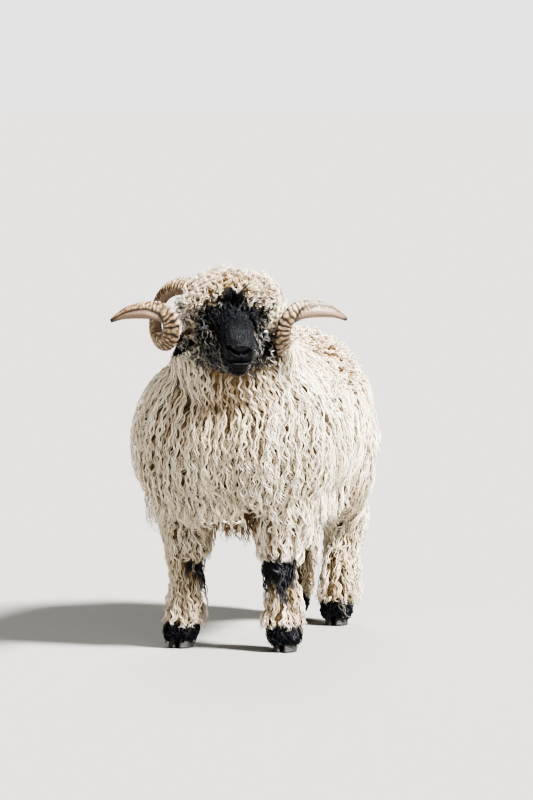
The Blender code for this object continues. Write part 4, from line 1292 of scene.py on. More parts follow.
@dataclass(frozen=True)
class ClawKeratin(Finish):
    """Claw horn, grown in bands and worn on stone: dull grey in blotches."""

    title: ClassVar[str] = "claw_keratin_worn"
    dark: str = "#12100f"
    pale: str = "#38332f"
    band: float = 4.0  # millimetres between growth bands
    blotch: float = 9.0  # millimetres from one worn patch to the next
    roughness: float = 0.6

    def inputs(self, add: Adder, marks: Marks) -> dict:
        """Blotched grey with raised bands."""
        where = add("TexCoord", {}).outputs["Object"]
        bands = add("TexWave", {
            "bands_direction": "Z", "Scale": per_metre(self.band) / math.tau, "Distortion": 2.0,
            "Vector": where,
        }).outputs["Fac"]
        blotch = add("TexNoise", {"Scale": per_metre(self.blotch), "Detail": 4.0, "Vector": where})
        colour = add("Mix", {"data_type": "RGBA", 0: blotch, 6: self.dark, 7: self.pale})
        bump = add("Bump", {"Strength": 0.5, "Distance": 0.0006, "Height": bands})
        return {"Base Color": colour, "Normal": bump, "Roughness": self.roughness}


@dataclass(frozen=True)
class EyeGlass(Finish):
    """A living eye, wet: amber iris, a dark level slit of a pupil and a clear coat."""

    title: ClassVar[str] = "eye_wet"
    marks: ClassVar[tuple[str, ...]] = ("rim", "pupil")
    iris: str = "#26190c"
    rim: str = "#1a120c"
    pupil: str = "#030303"

    def inputs(self, add: Adder, marks: Marks) -> dict:
        """The iris in its rim, with the pupil over it."""
        colour = self.iris
        for name, over in (("rim", self.rim), ("pupil", self.pupil)):
            colour = add("Mix", {"data_type": "RGBA", 0: marks[name], 6: colour, 7: over})
        return {"Base Color": colour, "Roughness": 0.15, "Coat Weight": 0.6, "Coat Roughness": 0.03}


@dataclass(frozen=True)
class FloorPlaster(Finish):
    """Plaster, rolled and painted: quite matt, with a faint cloudiness."""

    title: ClassVar[str] = "plaster_floor_rolled"
    low: str = "#93918d"
    high: str = "#989692"
    cloud: float = 40.0  # millimetres from cloud to cloud

    def inputs(self, add: Adder, marks: Marks) -> dict:
        """Two pale greys in soft clouds."""
        where = add("TexCoord", {}).outputs["Object"]
        grain = add("TexNoise", {"Scale": per_metre(self.cloud), "Vector": where})
        colour = add("Mix", {"data_type": "RGBA", 0: grain, 6: self.low, 7: self.high})
        return {"Base Color": colour, "Roughness": 0.9, "Specular IOR Level": 0.0}


@dataclass
class Ram:
    """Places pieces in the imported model's frame and keeps the coat's finishes."""

    shift: Vector = field(init=False)
    coats: dict[Slot, bpy.types.Material] = field(init=False)

    def __post_init__(self) -> None:
        """Reads the shift from a claw and makes the coat's finishes."""
        low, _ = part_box("claw_front_left_left")
        drawn_x = FRONT_FOOT[0] + CLEFT / 2
        drawn_y = FRONT_FOOT[1] - CLAW_TOE
        self.shift = Vector((low.x - drawn_x, low.y - drawn_y, 0.0))
        self.coats = {Slot.FLEECE: Wool().material(), Slot.BLACK_HAIR: BlackHair().material()}

    def place(self, piece: bpy.types.Object, material: bpy.types.Material, slot: Slot,
              nodes: tuple[str, ...] = ()) -> None:
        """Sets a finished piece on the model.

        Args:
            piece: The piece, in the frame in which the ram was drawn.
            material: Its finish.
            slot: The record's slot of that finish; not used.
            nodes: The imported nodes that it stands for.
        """
        piece.data.materials.clear()
        piece.data.materials.append(material)
        piece.location = self.shift
        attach(piece, "root")
        if nodes:
            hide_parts(*nodes)
        LOG.info("%s: %d faces", piece.name, len(piece.data.polygons))

    def coat(self, name: str, strands: Strands, slot: Slot = Slot.FLEECE) -> None:
        """Makes coat pieces of some strands, each of fewer triangles than a piece may have."""
        parts = math.ceil(len(strands) / (COAT_PIECE // strands.triangles()))
        for k in range(parts):
            label = f"{name}_{k + 1}" if parts > 1 else name
            mesh = strand_mesh(label, strands.part(slice(k, None, parts)))
            self.place(link(label, mesh), self.coats[slot], slot)


Rule = Callable[[Roots], np.ndarray]


@dataclass
class Coat:
    """Grows wool and hair on the ram's skin."""

    ram: Ram
    skin: Skin
    HEM_GAP: ClassVar[float] = 0.015  # roots less far above the hem grow nothing
    SHORTEST: ClassVar[float] = 0.034  # the least length of a lock above the hem

    def cover(self, name: str, lock: Lock, keep: np.ndarray, seeds: tuple[int, int, int], lie: Rule,
              jitter: float = 0.0, room: Rule | float | None = None, length: Rule | None = None,
              vary: tuple[float, float] | None = None, hem: Rule | None = None,
              tint: Callable[[Strands, np.ndarray], np.ndarray] | None = None,
              slot: Slot = Slot.FLEECE) -> None:
        """Grows one kind of lock on some of the skin.

        Args:
            name: The piece's name.
            lock: The kind.
            keep: Which of the skin's triangles it grows on.
            seeds: The seeds of where the locks stand, how they lie and how they grow.
            lie: The rule for which way they lie.
            jitter: How much each lies its own way.
            room: How deep the coat is, or None for the body's own depth.
            length: The rule for their lengths, or None for the kind's own length.
            vary: The least and greatest share of that length that a lock may have.
            hem: The rule for how far they may hang, or None where nothing ends them.
            tint: The rule for how black they are, which also reads a chance for each strand,
                or None for the markings' own black.
            slot: The record's slot of the piece.
        """
        roots = self.skin.scatter(keep, lock.spacing, seeds[0])
        long = np.full(len(roots), lock.length)
        if hem is not None:
            roots = roots.where(hem(roots) > self.HEM_GAP)
            long = np.clip(1.1 * hem(roots), self.SHORTEST, lock.length)
        if room is not None:
            roots.room = room(roots) if callable(room) else np.full(len(roots), room)
        if length is not None:
            long = length(roots)
        draw = np.random.default_rng(seeds[1])
        if vary is not None:
            long = long * draw.uniform(*vary, len(roots))
        flow = lie(roots) + draw.normal(0, jitter, roots.out.shape)
        strands = grow(self.skin, roots, flow, lock, seeds[2], long)
        if tint is not None:
            strands.values["black"] = tint(strands, draw.uniform(0, 1, (len(strands), 1)))
        self.ram.coat(name, strands, slot)


@dataclass
class Fleece(Coat):
    """The wool of the body: curls on the back and long wavy locks elsewhere."""

    back_slope: float = 0.40  # how far the skin faces up where curls take over from the locks
    underside: float = -0.62  # the same where the belly's locks start
    chest: float = -0.255  # the y behind which the chest ends
    fringe_top: float = 0.425  # how high the breast's fringe starts
    hem: float = 0.325  # how high the chest's locks end
    notch: float = 0.050  # how much higher they end over the left leg
    leg_top: float = 0.34
    cuff: float = 0.066  # how high the lowest locks of a leg grow

    @staticmethod
    def sway(points: np.ndarray, size: float, seed: int) -> np.ndarray:
        """A soft sideways wander of the coat's lie that neighbours share."""
        return np.stack([ripple(points, size, seed + k) for k in range(3)], 1)

    def above_hem(self, roots: Roots) -> np.ndarray:
        """How far roots are above the ragged line at which the chest's locks end."""
        x = roots.points[:, 0]
        notch = self.notch * bell(x - 0.080, 0.035) + 0.012 * ripple(roots.points, 0.05, 45)
        return roots.points[:, 2] - self.hem - notch

    def torso(self) -> None:
        """The back, flanks, chest and belly."""
        form, middle, slope = self.skin.form, self.skin.middle, self.skin.out[:, 2]
        x, y, z = middle.T
        lift = slope - 0.10 * ripple(middle, 0.10, 41)
        on = form == "torso"
        back = on & (lift > self.back_slope - 0.10) & (y > -0.25)
        back |= (form == "tail") & (slope > 0.30)
        back |= (form == "neck") & (slope > 0.60) & ~HeadCoat.owns(middle)
        flank = on & ((lift <= self.back_slope + 0.12) | (y <= -0.25))
        belly = on & (slope <= self.underside) & (y > self.chest)
        chest = on & (y <= self.chest)
        low = z < self.fringe_top + 0.02 * ripple(middle, 0.08, 44)
        fringe = chest & low & (np.abs(x + 0.038) < 0.092) & (y < -0.285)
        self.cover("fleece_back", BACK_CURL, back, (1, 2, 2), lambda r: (
            DOWN * 0.5 + r.out * (1.0, 1.0, 0.0)), jitter=1.2)
        self.cover("fleece_flanks", FLANK_LOCK, flank & ~belly & ~chest, (4, 5, 5), lambda r: (
            DOWN + ease(0.10, -0.25, r.points[:, 1:2]) * (0.0, 0.35, 0.0) + (0.0, 0.10, 0.0)
            + 0.30 * self.sway(r.points, 0.16, 42)))
        self.cover("fleece_chest", CHEST_LOCK, chest & ~fringe, (6, 7, 7), lambda r: (
            DOWN + (r.points[:, :1] - 0.03) * (2.2, 0.0, 0.0) + 0.22 * self.sway(r.points, 0.16, 46)),
            hem=self.above_hem)
        self.cover("fleece_fringe", FRINGE_LOCK, fringe, (9, 10, 10), lambda r: (
            DOWN - (0.0, 0.25, 0.0) + 0.25 * self.sway(r.points, 0.12, 47)), hem=self.above_hem)
        self.cover("fleece_belly", BELLY_LOCK, belly, (8, 9, 9), lambda r: (
            DOWN * 0.6 + (0.0, 0.8, 0.0) + 0.4 * self.sway(r.points, 0.10, 49)))

    def neck(self) -> None:
        """The ruff that hangs from the neck over the chest and shoulders."""
        keep = (self.skin.form == "neck") & ~HeadCoat.owns(self.skin.middle)
        self.cover("fleece_neck", NECK_LOCK, keep, (11, 12, 12), lambda r: (
            DOWN + r.out * (0.5, 0.25, 0.0) + (0.0, 0.12, 0.0) + 0.25 * self.sway(r.points, 0.14, 52)))

    @staticmethod
    def leg_length(roots: Roots) -> np.ndarray:
        """How long a leg's locks are: down to the feet, clear of the knees and short where black."""
        z = roots.points[:, 2]
        long = np.minimum(LEG_LOCK.length, np.maximum(z - 0.058, 0.012) * 1.05)
        knee = Markings.knee_side(roots.points) * (z > Markings.knee)
        over = np.maximum(z - Markings.knee - 0.024, 0.014) * 1.1
        long = np.where(knee > 0.4, np.minimum(long, over), long)
        return np.where(Markings.black(roots.points) > 0.5, 0.034 + 0.016 * (z < Markings.knee), long)

    def legs(self) -> None:
        """The wool of each leg, from the thigh to the foot."""
        height = self.skin.middle[:, 2]
        for k, name in enumerate(("front_left", "front_right", "hind_left", "hind_right")):
            on = self.skin.form == name
            self.cover(f"fleece_thigh_{name}", THIGH_LOCK, on & (height > self.leg_top),
                       (15 + k, 16 + k, 16 + k), lambda r: (
                DOWN + r.out * 0.15 + (0.0, 0.10, 0.0) + 0.30 * self.sway(r.points, 0.12, 56)))
            deeper = 1.25 if name.startswith("hind") else 1.0
            self.cover(f"fleece_leg_{name}", LEG_LOCK, on & (height > self.cuff) & (height <= self.leg_top),
                       (20 + k, 40 + k, 40 + k), lambda r: (
                DOWN + r.out * 0.25 + 0.30 * self.sway(r.points, 0.10, 60 + k)),
                room=lambda r: r.room * deeper, length=self.leg_length)

    def tail(self) -> None:
        """The woolly tail."""
        self.cover("fleece_tail", TAIL_LOCK, self.skin.form == "tail", (51, 52, 52), lambda r: (
            DOWN + r.out * 0.1))


@dataclass
class HeadCoat(Coat):
    """The crown's ringlets, the curls round the face and the short black hair."""

    crown: tuple[float, float, float] = (0.014, 0.007, 0.048)  # the middle of the crown's wool
    crown_reach: tuple[float, float, float] = (0.078, 0.150, 0.112)
    at: Reach = field(init=False)
    own: np.ndarray = field(init=False)
    black: np.ndarray = field(init=False)
    ear: np.ndarray = field(init=False)
    eye_gap: np.ndarray = field(init=False)

    def __post_init__(self) -> None:
        """Where the skin's triangles are on the head."""
        middle = self.skin.middle
        self.at = HEAD.local(middle)
        self.own = self.owns(middle)
        self.black = Markings.black(middle)
        self.ear = np.where(self.own, near_ears(middle), 0)
        self.eye_gap = np.minimum(*(np.linalg.norm(middle - eye_centre(s), axis=1) for s in (1, -1)))

    @staticmethod
    def owns(points: np.ndarray) -> np.ndarray:
        """Which points are dressed with the head and not with the neck."""
        along, across, above = HEAD.local(points)
        return (along > -0.036) & (above > -0.12) & (np.abs(across) < 0.20)

    def wool_room(self, roots: Roots) -> np.ndarray:
        """How far out the crown's wool, an oval, reaches over roots."""
        axes = np.array(HEAD_AXES)
        start = ((roots.points - HEAD.at(*self.crown)) @ axes.T) / self.crown_reach
        way = (roots.out @ axes.T) / self.crown_reach
        a, b, c = (way * way).sum(-1), (start * way).sum(-1), (start * start).sum(-1) - 1
        reach = np.maximum((np.sqrt(np.maximum(b * b - a * c, 0)) - b) / a, 0.0)
        return np.clip(reach, 0.016, 0.050)

    def top(self) -> np.ndarray:
        """The crown's part of the skin."""
        high = self.at.above > 0.022 + 0.35 * np.maximum(self.at.along - 0.03, 0)
        return self.own & high & (self.at.along < 0.080) & (self.ear < 0.2)

    @staticmethod
    def streaked(strands: Strands, chance: np.ndarray) -> np.ndarray:
        """The crown's black, with dark ringlets by the temples."""
        along, across, _ = (v[:, None] for v in HEAD.local(strands.centre[:, 0]))
        streak = chance < 0.35 * ease(0.03, 0.06, np.abs(across)) * ease(0.02, 0.05, along)
        return np.maximum(strands.values["black"], 0.85 * streak)

    @staticmethod
    def grizzled(strands: Strands, chance: np.ndarray) -> np.ndarray:
        """The cheeks' black, with pale curls behind and grey ones all over, partly painted highlights."""
        along, _, above = (v[:, None] for v in HEAD.local(strands.centre[:, 0]))
        pale = 0.4 * ease(0.060, 0.015, along) * ease(-0.07, 0.0, above)
        # grey curls: partly real grizzle and partly painted highlight
        return strands.values["black"] * (chance > pale) * (1 - 0.40 * (chance > 0.72))

    def topknot(self) -> None:
        """Ringlets over the crown that part above the forehead."""
        self.cover(
            "fleece_crown", CROWN_RINGLET, self.top() & (self.black < 0.5), (61, 62, 63),
            lambda r: (HEAD.forward * 0.35 + HEAD.left * np.clip(r.head.across * 12, -0.5, 0.5)[:, None]
                       + DOWN * 0.25),
            jitter=0.5, room=self.wool_room, tint=self.streaked,
            length=lambda r: CROWN_RINGLET.length * (
                1 - 0.45 * bell(r.head.across, 0.050) * ease(0.015, 0.045, r.head.along)))

    def cheeks(self) -> None:
        """Curls from the temples down round the cheeks, black before and mixed with pale ones behind."""
        along, across, above = self.at
        keep = self.own & ~self.top() & (self.ear < 0.3)
        keep &= np.abs(across) > 0.016 + 0.15 * np.maximum(along - 0.07, 0)
        keep &= (along < 0.175) & (above > -0.075) & (above < 0.050 - 0.25 * along)
        self.cover(
            "fleece_cheeks", CHEEK_CURL, keep & (self.eye_gap > 0.0125), (65, 66, 67),
            lambda r: DOWN * 0.9 - HEAD.forward * 0.15 + r.out * 0.2,
            jitter=0.3, room=lambda r: 0.012 + 0.022 * ease(0.16, 0.02, r.head.along), tint=self.grizzled,
            length=lambda r: CHEEK_CURL.length * (0.6 + 0.4 * ease(0.16, 0.08, r.head.along)))

    def throat(self) -> None:
        """Cream locks that hang from behind the chin."""
        keep = self.own & (self.at.above <= -0.072) & (self.at.along < 0.050)
        self.cover(
            "fleece_throat", THROAT_LOCK, keep & (self.black < 0.6) & (self.ear < 0.2), (68, 69, 69),
            lambda r: DOWN + HEAD.left * (r.head.across * 5)[:, None] - HEAD.forward * 0.2, room=0.024)

    def face(self) -> None:
        """Short black hair that lies back over the nose and lips."""
        along, _, above = self.at
        lips = (along > 0.226) & (above > -0.044) & (above < 0.012)
        keep = self.own & (self.black > 0.5) & (along > 0.035) & (self.ear < 0.2) & ~lips
        self.cover(
            "hair_face", FACE_HAIR, keep & (self.eye_gap > 0.017), (71, 72, 73),
            lambda r: -HEAD.forward + DOWN * (0.6 * ease(0.0, -0.04, r.head.above))[:, None],
            jitter=0.2, room=0.0022, slot=Slot.BLACK_HAIR,
            length=lambda r: FACE_HAIR.length * (0.5 + 0.5 * ease(0.24, 0.18, r.head.along)))

    def brow(self) -> None:
        """Black hair that fans up the forehead into a forelock between the horns."""
        along, _, above = self.at
        keep = (self.black > 0.5) & (above > 0.018) & (along > 0.058) & (along < 0.130)
        self.cover(
            "hair_forelock", BROW_HAIR, keep & (self.ear < 0.2) & (self.eye_gap > 0.017), (85, 86, 87),
            lambda r: HEAD.up - HEAD.forward * 0.4 + HEAD.left * (r.head.across * 14)[:, None],
            jitter=0.22, room=lambda r: 0.005 + 0.042 * ease(0.105, 0.06, r.head.along),
            slot=Slot.BLACK_HAIR, vary=(0.65, 1.25),
            length=lambda r: BROW_HAIR.length * (0.45 + 0.60 * ease(0.12, 0.08, r.head.along))
            * (0.6 + 0.5 * bell(r.head.across, 0.022)))

    def chin(self) -> None:
        """A short black beard under the chin and jaw."""
        along, _, above = self.at
        keep = (self.black > 0.5) & (above < -0.048) & (along > 0.09) & (along < 0.235)
        self.cover(
            "hair_chin", CHIN_HAIR, keep, (88, 89, 90),
            lambda r: DOWN - HEAD.forward * 0.3 + HEAD.left * (r.head.across * 8)[:, None],
            jitter=0.15, room=0.008, slot=Slot.BLACK_HAIR)

    def ears(self) -> None:
        """Black hair over the ears, with a fringe at their edges."""
        for side in Side:
            sign = side.value
            _, along, _, _ = EARS[side].axes()
            self.cover(
                f"hair_ear_{side.word}", EAR_HAIR, (self.ear > 0.5) & (self.at.across * sign > 0),
                (75 + sign, 78 + sign, 80 + sign), lambda r: along + DOWN * 0.3,
                jitter=0.2, room=0.004, slot=Slot.BLACK_HAIR)

    def dress(self) -> None:
        """Grows the whole head's coat."""
        for part in (self.topknot, self.cheeks, self.throat, self.face, self.brow, self.chin, self.ears):
            part()


def around(angle: np.ndarray, degrees: float | np.ndarray, width: float) -> np.ndarray:
    """A bell of some degrees' width at one place round a section."""
    return bell(np.angle(np.exp(1j * (angle - np.radians(degrees)))), math.radians(width))


@dataclass
class Horn:
    """A ram's spiral horn, ridged across and keeled along."""

    ram: Ram
    side: Side
    rings: int = 520
    count: int = 36

    # How far outwards, forward and up from its seat the horn's line runs
    LINE = (
        (0.030, 0.000, -0.012), (0.060, -0.020, 0.034), (0.100, -0.052, 0.055), (0.134, -0.086, 0.042),
        (0.152, -0.106, 0.008), (0.158, -0.108, -0.034), (0.159, -0.088, -0.070), (0.156, -0.052, -0.092),
        (0.149, -0.010, -0.092), (0.144, 0.022, -0.066), (0.148, 0.036, -0.032), (0.166, 0.036, -0.010),
        (0.196, 0.029, -0.003), (0.230, 0.018, -0.004), (0.264, 0.006, -0.012), (0.296, -0.006, -0.029),
    )
    # Where each horn departs from that line: at what share of it, over what share, how far
    # outwards and how far upwards
    BENDS = {
        Side.LEFT: ((0.36, 0.16, -0.008, 0.0), (0.62, 0.10, -0.006, 0.0)),
        Side.RIGHT: ((0.36, 0.16, 0.009, 0.0), (0.50, 0.12, 0.0, 0.015)),
    }
    FLARE = 0.008  # how much further out the left tip is, and the right one further in
    SEAT = (0.050, -0.452, 0.879)
    HALF_WIDTHS = (0.025, 0.026, 0.025, 0.023, 0.0235, 0.0245, 0.0245, 0.024, 0.0235, 0.0225, 0.017, 0.005)
    THICKNESS = 0.66  # as a share of the width
    # How far the section has turned, in degrees, at places along the horn
    TWIST = ((0.0, 0.38, 0.60, 0.68, 0.82, 1.0), (0.0, 0.0, -37.0, -45.0, -105.0, -112.0))
    # Where round the section, in degrees, the crease of the twisted end runs
    CREASE = {
        Side.LEFT: ((0.45, 0.62, 0.70, 0.75, 0.80, 0.86, 1.0), (300, 290, 288, 256, 236, 214, 205)),
        Side.RIGHT: ((0.45, 0.62, 0.70, 0.76, 0.83, 0.90, 1.0), (305, 300, 286, 270, 262, 266, 275)),
    }
    # How far apart the ridges are at places along the horn
    PACE = ((0.0, 0.30, 0.45, 0.58, 0.70, 0.85, 1.0), (0.0072, 0.0078, 0.011, 0.014, 0.012, 0.007, 0.006))
    # How deep the furrows between them are
    DEPTH = ((0.0, 0.1, 0.5, 0.66, 0.78, 0.95), (0.0024, 0.0026, 0.0032, 0.0028, 0.0009, 0.0003))
    # Which way round the section, in degrees, the horn faces away from the head
    FACING = ((0, 0.55, 0.75, 1), (240, 240, 205, 200))
    # How dark the furrows are painted, with dirt and shade, and how wide they look
    DIRT = ((0, 0.7, 0.85, 1), (1, 1, 0.6, 0.4))
    NARROW = ((0, 0.4, 0.6), (0.9, 0.8, 0.95))

    def centre_line(self, at: np.ndarray) -> np.ndarray:
        """The horn's centre line at places from 0 at the root to 1."""
        sign = self.side.value
        t = np.linspace(0, 1, len(self.LINE))
        out, forward, up = np.array(self.LINE).T
        for place, width, outward, upward in self.BENDS[self.side]:
            out = out + outward * bell(t - place, width)
            up = up + upward * bell(t - place, width)
        out = out + self.FLARE * sign * np.maximum(0, 2 * t - 1)
        table = np.array(self.SEAT) + out[:, None] * HEAD.left * sign + forward[:, None] * HEAD_LEVEL
        table[:, 2] += up
        return smooth(table, at)

    def directions(self, at: np.ndarray) -> tuple[np.ndarray, np.ndarray]:
        """Which way the twisted section is wide and which way it is thick."""
        ahead = unit(self.centre_line(at + 0.01) - self.centre_line(at - 0.01))
        across = np.empty_like(ahead)
        carried = HEAD.left * self.side.value
        for i in range(self.rings):
            carried = carried - ahead[i] * (carried @ ahead[i])
            carried = carried / np.linalg.norm(carried)
            across[i] = carried
        flat = np.cross(ahead, across) * self.side.value
        twist = np.radians(np.interp(at, *self.TWIST))[:, None]
        return across * np.cos(twist) + flat * np.sin(twist), flat * np.cos(twist) - across * np.sin(twist)

    def crests(self, at: np.ndarray, line: np.ndarray, angle: np.ndarray) -> np.ndarray:
        """How much points are on a ridge's crest, from 0 to 1, with uneven ridges."""
        run = np.concatenate([[0], np.cumsum(np.linalg.norm(np.diff(line, axis=0), axis=1))])
        pace = np.interp(at, *self.PACE)
        phase = np.concatenate([[0], np.cumsum(np.diff(run) / pace[1:])])[:, None]
        wobble = 0.12 * np.sin(2 * angle + phase * 0.7) + 0.08 * np.sin(5 * angle + phase * 1.9)
        wobble = wobble + 0.16 * np.sin(phase * 1.37 + self.side.value)
        return (0.5 + 0.5 * np.cos(math.tau * (phase + wobble))) ** 0.6

    def build(self) -> None:
        """Makes the horn and sets it on the model."""
        at = np.linspace(0, 1, self.rings)
        line = self.centre_line(at)
        wide, thick = self.directions(at)
        half = smooth(np.array(self.HALF_WIDTHS)[:, None], at)
        angle = np.linspace(0, math.tau, self.count, endpoint=False)[None]
        late = (ease(0.48, 0.60, at) * ease(1.0, 0.95, at))[:, None]
        crease = np.interp(at, *self.CREASE[self.side])[:, None]
        keel = 0.08 * around(angle, crease - 12, 14) - 0.24 * around(angle, crease + 14, 17)
        shape = 1 - 0.12 * np.cos(3 * angle) + late * keel
        crest = self.crests(at, line, angle)
        facing = np.radians(np.interp(at, *self.FACING))[:, None]
        outer = ease(-0.35, 0.35, np.cos(angle - facing) - 0.35 * late)
        press = np.interp(at, *self.DEPTH)[:, None] * (1 - crest) * (0.30 + 0.70 * outer)
        reach = wide[:, None] * (half * np.cos(angle) * shape)[..., None]
        reach = reach + thick[:, None] * (half * self.THICKNESS * np.sin(angle) * shape)[..., None]
        name = f"horn_{self.side.word}"
        mesh = closed_mesh(f"{name}_ridged", [line[:, None] + reach - unit(reach) * press[..., None]])
        # the furrows' dark is partly dirt and partly painted shade, most on the outer face
        lined = np.interp(at, *self.DIRT)[:, None] * (0.25 + 0.75 * outer)
        write_values(mesh, "groove", (1 - crest) ** np.interp(at, *self.NARROW)[:, None] * lined)
        write_values(mesh, "inner", 1 - outer)
        # painted shade: the tip, a thin line under the crease of the twisted end, a band below the front
        # limb and a little over the whole twisted end
        shade = ease(0.95, 1.0, at)[:, None] + late * 0.95 * around(angle, crease + 10, 11)
        shade = shade + 0.5 * bell(at - 0.50, 0.05)[:, None] * around(angle, 200, 40) + 0.12 * late
        # the left horn's limb a little darker
        if self.side is Side.LEFT:
            shade = shade + 0.30 * bell(at - 0.60, 0.08)[:, None]
        write_values(mesh, "dark", np.clip(shade, 0, 1))
        mesh.shade_smooth()
        self.ram.place(link(f"{name}_ridged", mesh), HornKeratin().material(), Slot.HORN, (name,))


@dataclass
class Eye:
    """One eyeball, with its iris and slit pupil painted on its points."""

    ram: Ram
    side: Side
    fit: float = 0.97  # its radius, as a share of its socket's
    pupil: tuple[float, float] = (0.40, 0.13)  # half its length and height, as shares of the radius

    def build(self) -> None:
        """Makes the eye and sets it in its socket."""
        sign = self.side.value
        bm = bmesh.new()
        bmesh.ops.create_icosphere(bm, subdivisions=5, radius=1.0)
        points = np.array([v.co for v in bm.verts])
        x, y, z = points.T
        bulge = 1 + 0.05 * ease(0.62, 0.85, z)
        turned = sum(v[:, None] * axis for v, axis in zip((x, y, z), eye_axes(sign)))
        places = eye_centre(sign) + turned * EYE_RADIUS * self.fit * bulge[:, None]
        for vert, place in zip(bm.verts, places):
            vert.co = place
        mesh = bpy.data.meshes.new(f"eyeball_{self.side.word}")
        bm.to_mesh(mesh)
        bm.free()
        write_values(mesh, "rim", np.where(z > 0, ease(0.58, 0.70, np.hypot(x, y)), 1.0))
        slit = np.hypot(x / self.pupil[0], y / self.pupil[1])
        write_values(mesh, "pupil", np.where(z > 0, ease(1.15, 0.9, slit), 0.0))
        mesh.shade_smooth()
        eyeball = link(mesh.name, mesh)
        self.ram.place(eyeball, EyeGlass().material(), Slot.EYE, (f"eye_{self.side.word}",))


@dataclass
class Foot(Coat):
    """A cloven foot: two claws under a fringe of black hair."""

    name: str
    at: np.ndarray
    height: float = 0.036  # of a claw at its toe
    length: float = 0.058  # of a claw

    def claw_rings(self, sign: int) -> np.ndarray:
        """A claw's outline at levels from the sole to the coronet."""
        near, far = CLEFT / 2, CLEFT / 2 + CLAW_WIDTH
        outline = np.array([
            (near, 0.020), (near, -0.002), (near, -0.024), (near + 0.004, -CLAW_TOE), (near + 0.012, -0.033),
            (far - 0.003, -0.018), (far, 0.002), (far - 0.003, 0.018), (near + 0.010, 0.024),
        ])
        middle = np.array((near + CLAW_WIDTH / 2, 0.0))
        fine = smooth(np.vstack([outline, outline[:1]]), np.linspace(0, 1, 45))[:-1]
        rings = []
        for level in np.linspace(0.0, 1.0, 12):
            edge = 0.94 + 0.06 * min(level / 0.08, 1.0)
            x, y = (middle + (fine - middle) * (1.0 - 0.16 * level) * edge).T
            y = y + 0.004 * level
            front = self.height - 0.012 * (y + CLAW_TOE) / self.length
            ridge = 1 + 0.010 * math.sin(level * 28.0)
            x = middle[0] + (x - middle[0]) * ridge
            rings.append(np.stack([self.at[0] + x * sign, self.at[1] + y, level * front], 1))
        return np.array(rings)

    def build(self, finish: bpy.types.Material) -> None:
        """Makes both claws and the hair above them."""
        for which, sign in (("left", 1), ("right", -1)):
            name = f"claw_{self.name}_{which}"
            mesh = closed_mesh(name, [self.claw_rings(sign)])
            mesh.shade_smooth()
            mesh.set_sharp_from_angle(angle=math.radians(50))
            self.ram.place(link(f"{name}_worn", mesh), finish, Slot.HOOF, (name,))
        keep = (self.skin.form == self.name) & (self.skin.middle[:, 2] < Markings.coronet[0])
        self.cover(
            f"hair_foot_{self.name}", FOOT_HAIR, keep & (self.skin.out[:, 2] > -0.8), (93, 91, 92),
            lambda r: DOWN + r.out * 0.3, jitter=0.15, room=0.015, slot=Slot.BLACK_HAIR)


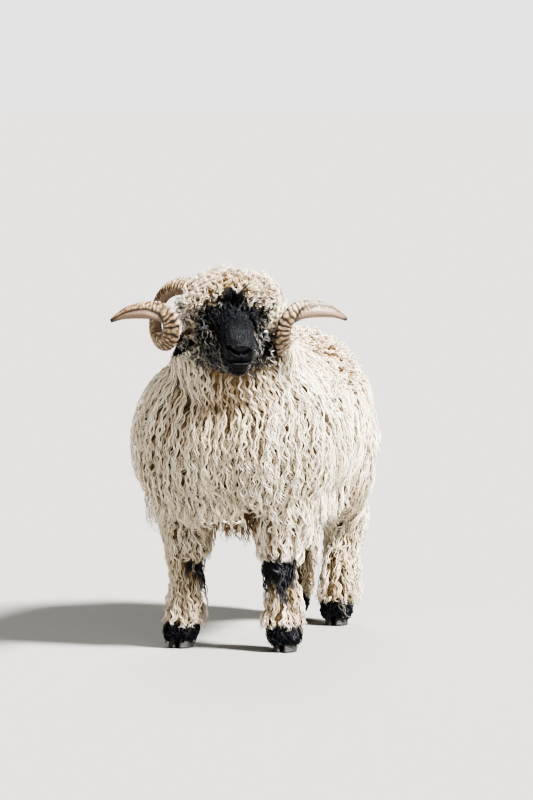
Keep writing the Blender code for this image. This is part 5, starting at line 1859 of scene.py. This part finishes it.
@dataclass
class Studio:
    """The pale floor, the soft lights and the camera."""

    shift: Vector
    azimuth: float = 18.0  # of the camera, in degrees from straight ahead of the ram
    elevation: float = 4.0
    distance: float = 11.0
    lens: float = 194.9
    aim: tuple[float, float, float] = (0.081, -0.2237, 0.6366)  # in the frame of the drawing
    floor_size: float = 400.0
    horizon: float = 1.52  # how bright the studio's walls are, low and high
    zenith: float = 0.10
    wall: str = "#f0f1f3"
    # Each lamp's azimuth and elevation, how many degrees wide it is, and its power
    LAMPS: ClassVar = {
        "key": (79.0, 44.0, 11.0, 16.5),
        "fill": (15.0, 35.0, 60.0, 1.1),
        "rim": (200.0, 50.0, 20.0, 2.0),
    }

    @staticmethod
    def face(obj: bpy.types.Object, azimuth: float, elevation: float) -> Vector:
        """Turns a camera or lamp to look from some side, in degrees, and gives the way to it."""
        a, e = math.radians(azimuth), math.radians(elevation)
        way = Vector((math.sin(a) * math.cos(e), -math.cos(a) * math.cos(e), math.sin(e)))
        obj.rotation_euler = (-way).to_track_quat("-Z", "Y").to_euler()
        return way

    def camera(self) -> None:
        """The camera, at the photo's angle."""
        data = bpy.data.cameras.new("camera")
        data.lens = self.lens
        data.clip_end = 2000.0
        camera = link("camera", data)
        way = self.face(camera, self.azimuth, self.elevation)
        camera.location = Vector(self.aim) + self.shift + way * self.distance
        bpy.context.scene.camera = camera

    def lamps(self) -> None:
        """Even lights from three sides, whose shadows are as soft as they are wide."""
        for name, (azimuth, elevation, width, power) in self.LAMPS.items():
            data = bpy.data.lights.new(name, "SUN")
            data.angle = math.radians(width)
            data.energy = power
            self.face(link(name, data), azimuth, elevation)

    def floor(self) -> None:
        """A plain pale floor that runs far back."""
        bm = bmesh.new()
        bmesh.ops.create_grid(bm, x_segments=1, y_segments=1, size=self.floor_size)
        mesh = bpy.data.meshes.new("floor")
        bm.to_mesh(mesh)
        bm.free()
        mesh.materials.append(FloorPlaster().material())
        link("floor", mesh)

    def walls(self) -> None:
        """Bright walls low round the studio, and a dark ceiling."""
        world = bpy.data.worlds.new("studio")
        world.use_nodes = True
        tree = world.node_tree
        where = add_node(tree, "TexCoord", {}).outputs["Generated"]
        height = add_node(tree, "SeparateXYZ", {0: where}).outputs["Z"]
        power = add_node(tree, "MapRange", {
            "From Min": 0.04, "From Max": 0.20, "To Min": self.horizon, "To Max": self.zenith,
            "Value": height,
        })
        sky = tree.nodes["Background"]
        sky.inputs["Color"].default_value = linear(self.wall)
        tree.links.new(power.outputs[0], sky.inputs["Strength"])
        bpy.context.scene.world = world

    def build(self) -> None:
        """Sets up the whole studio."""
        self.camera()
        self.floor()
        self.lamps()
        self.walls()
        bpy.context.scene.view_settings.look = "AgX - High Contrast"


def main() -> None:
    """Dresses the ram and sets up the studio."""
    logging.basicConfig(level=logging.INFO, format="%(name)s %(message)s")
    ram = Ram()
    Studio(ram.shift).build()
    skin = Skin(body_lofts())
    flesh = ("torso", "neck", "head", "tail", "leg_front_left", "leg_front_right",
             "leg_hind_left", "leg_hind_right", "ear_left", "ear_right")
    ram.place(skin.obj, SkinHide().material(), Slot.FLEECE, flesh)
    fleece = Fleece(ram, skin)
    fleece.torso()
    fleece.neck()
    fleece.legs()
    fleece.tail()
    HeadCoat(ram, skin).dress()
    claw = ClawKeratin().material()
    feet = {"front_left": FRONT_FOOT, "front_right": FRONT_FOOT * (-1, 1, 1),
            "hind_left": HIND_FEET[1], "hind_right": HIND_FEET[-1]}
    for name, at in feet.items():
        Foot(ram, skin, name, at).build(claw)
    for side in Side:
        Horn(ram, side).build()
        Eye(ram, side).build()


if __name__ == "__main__":
    main()
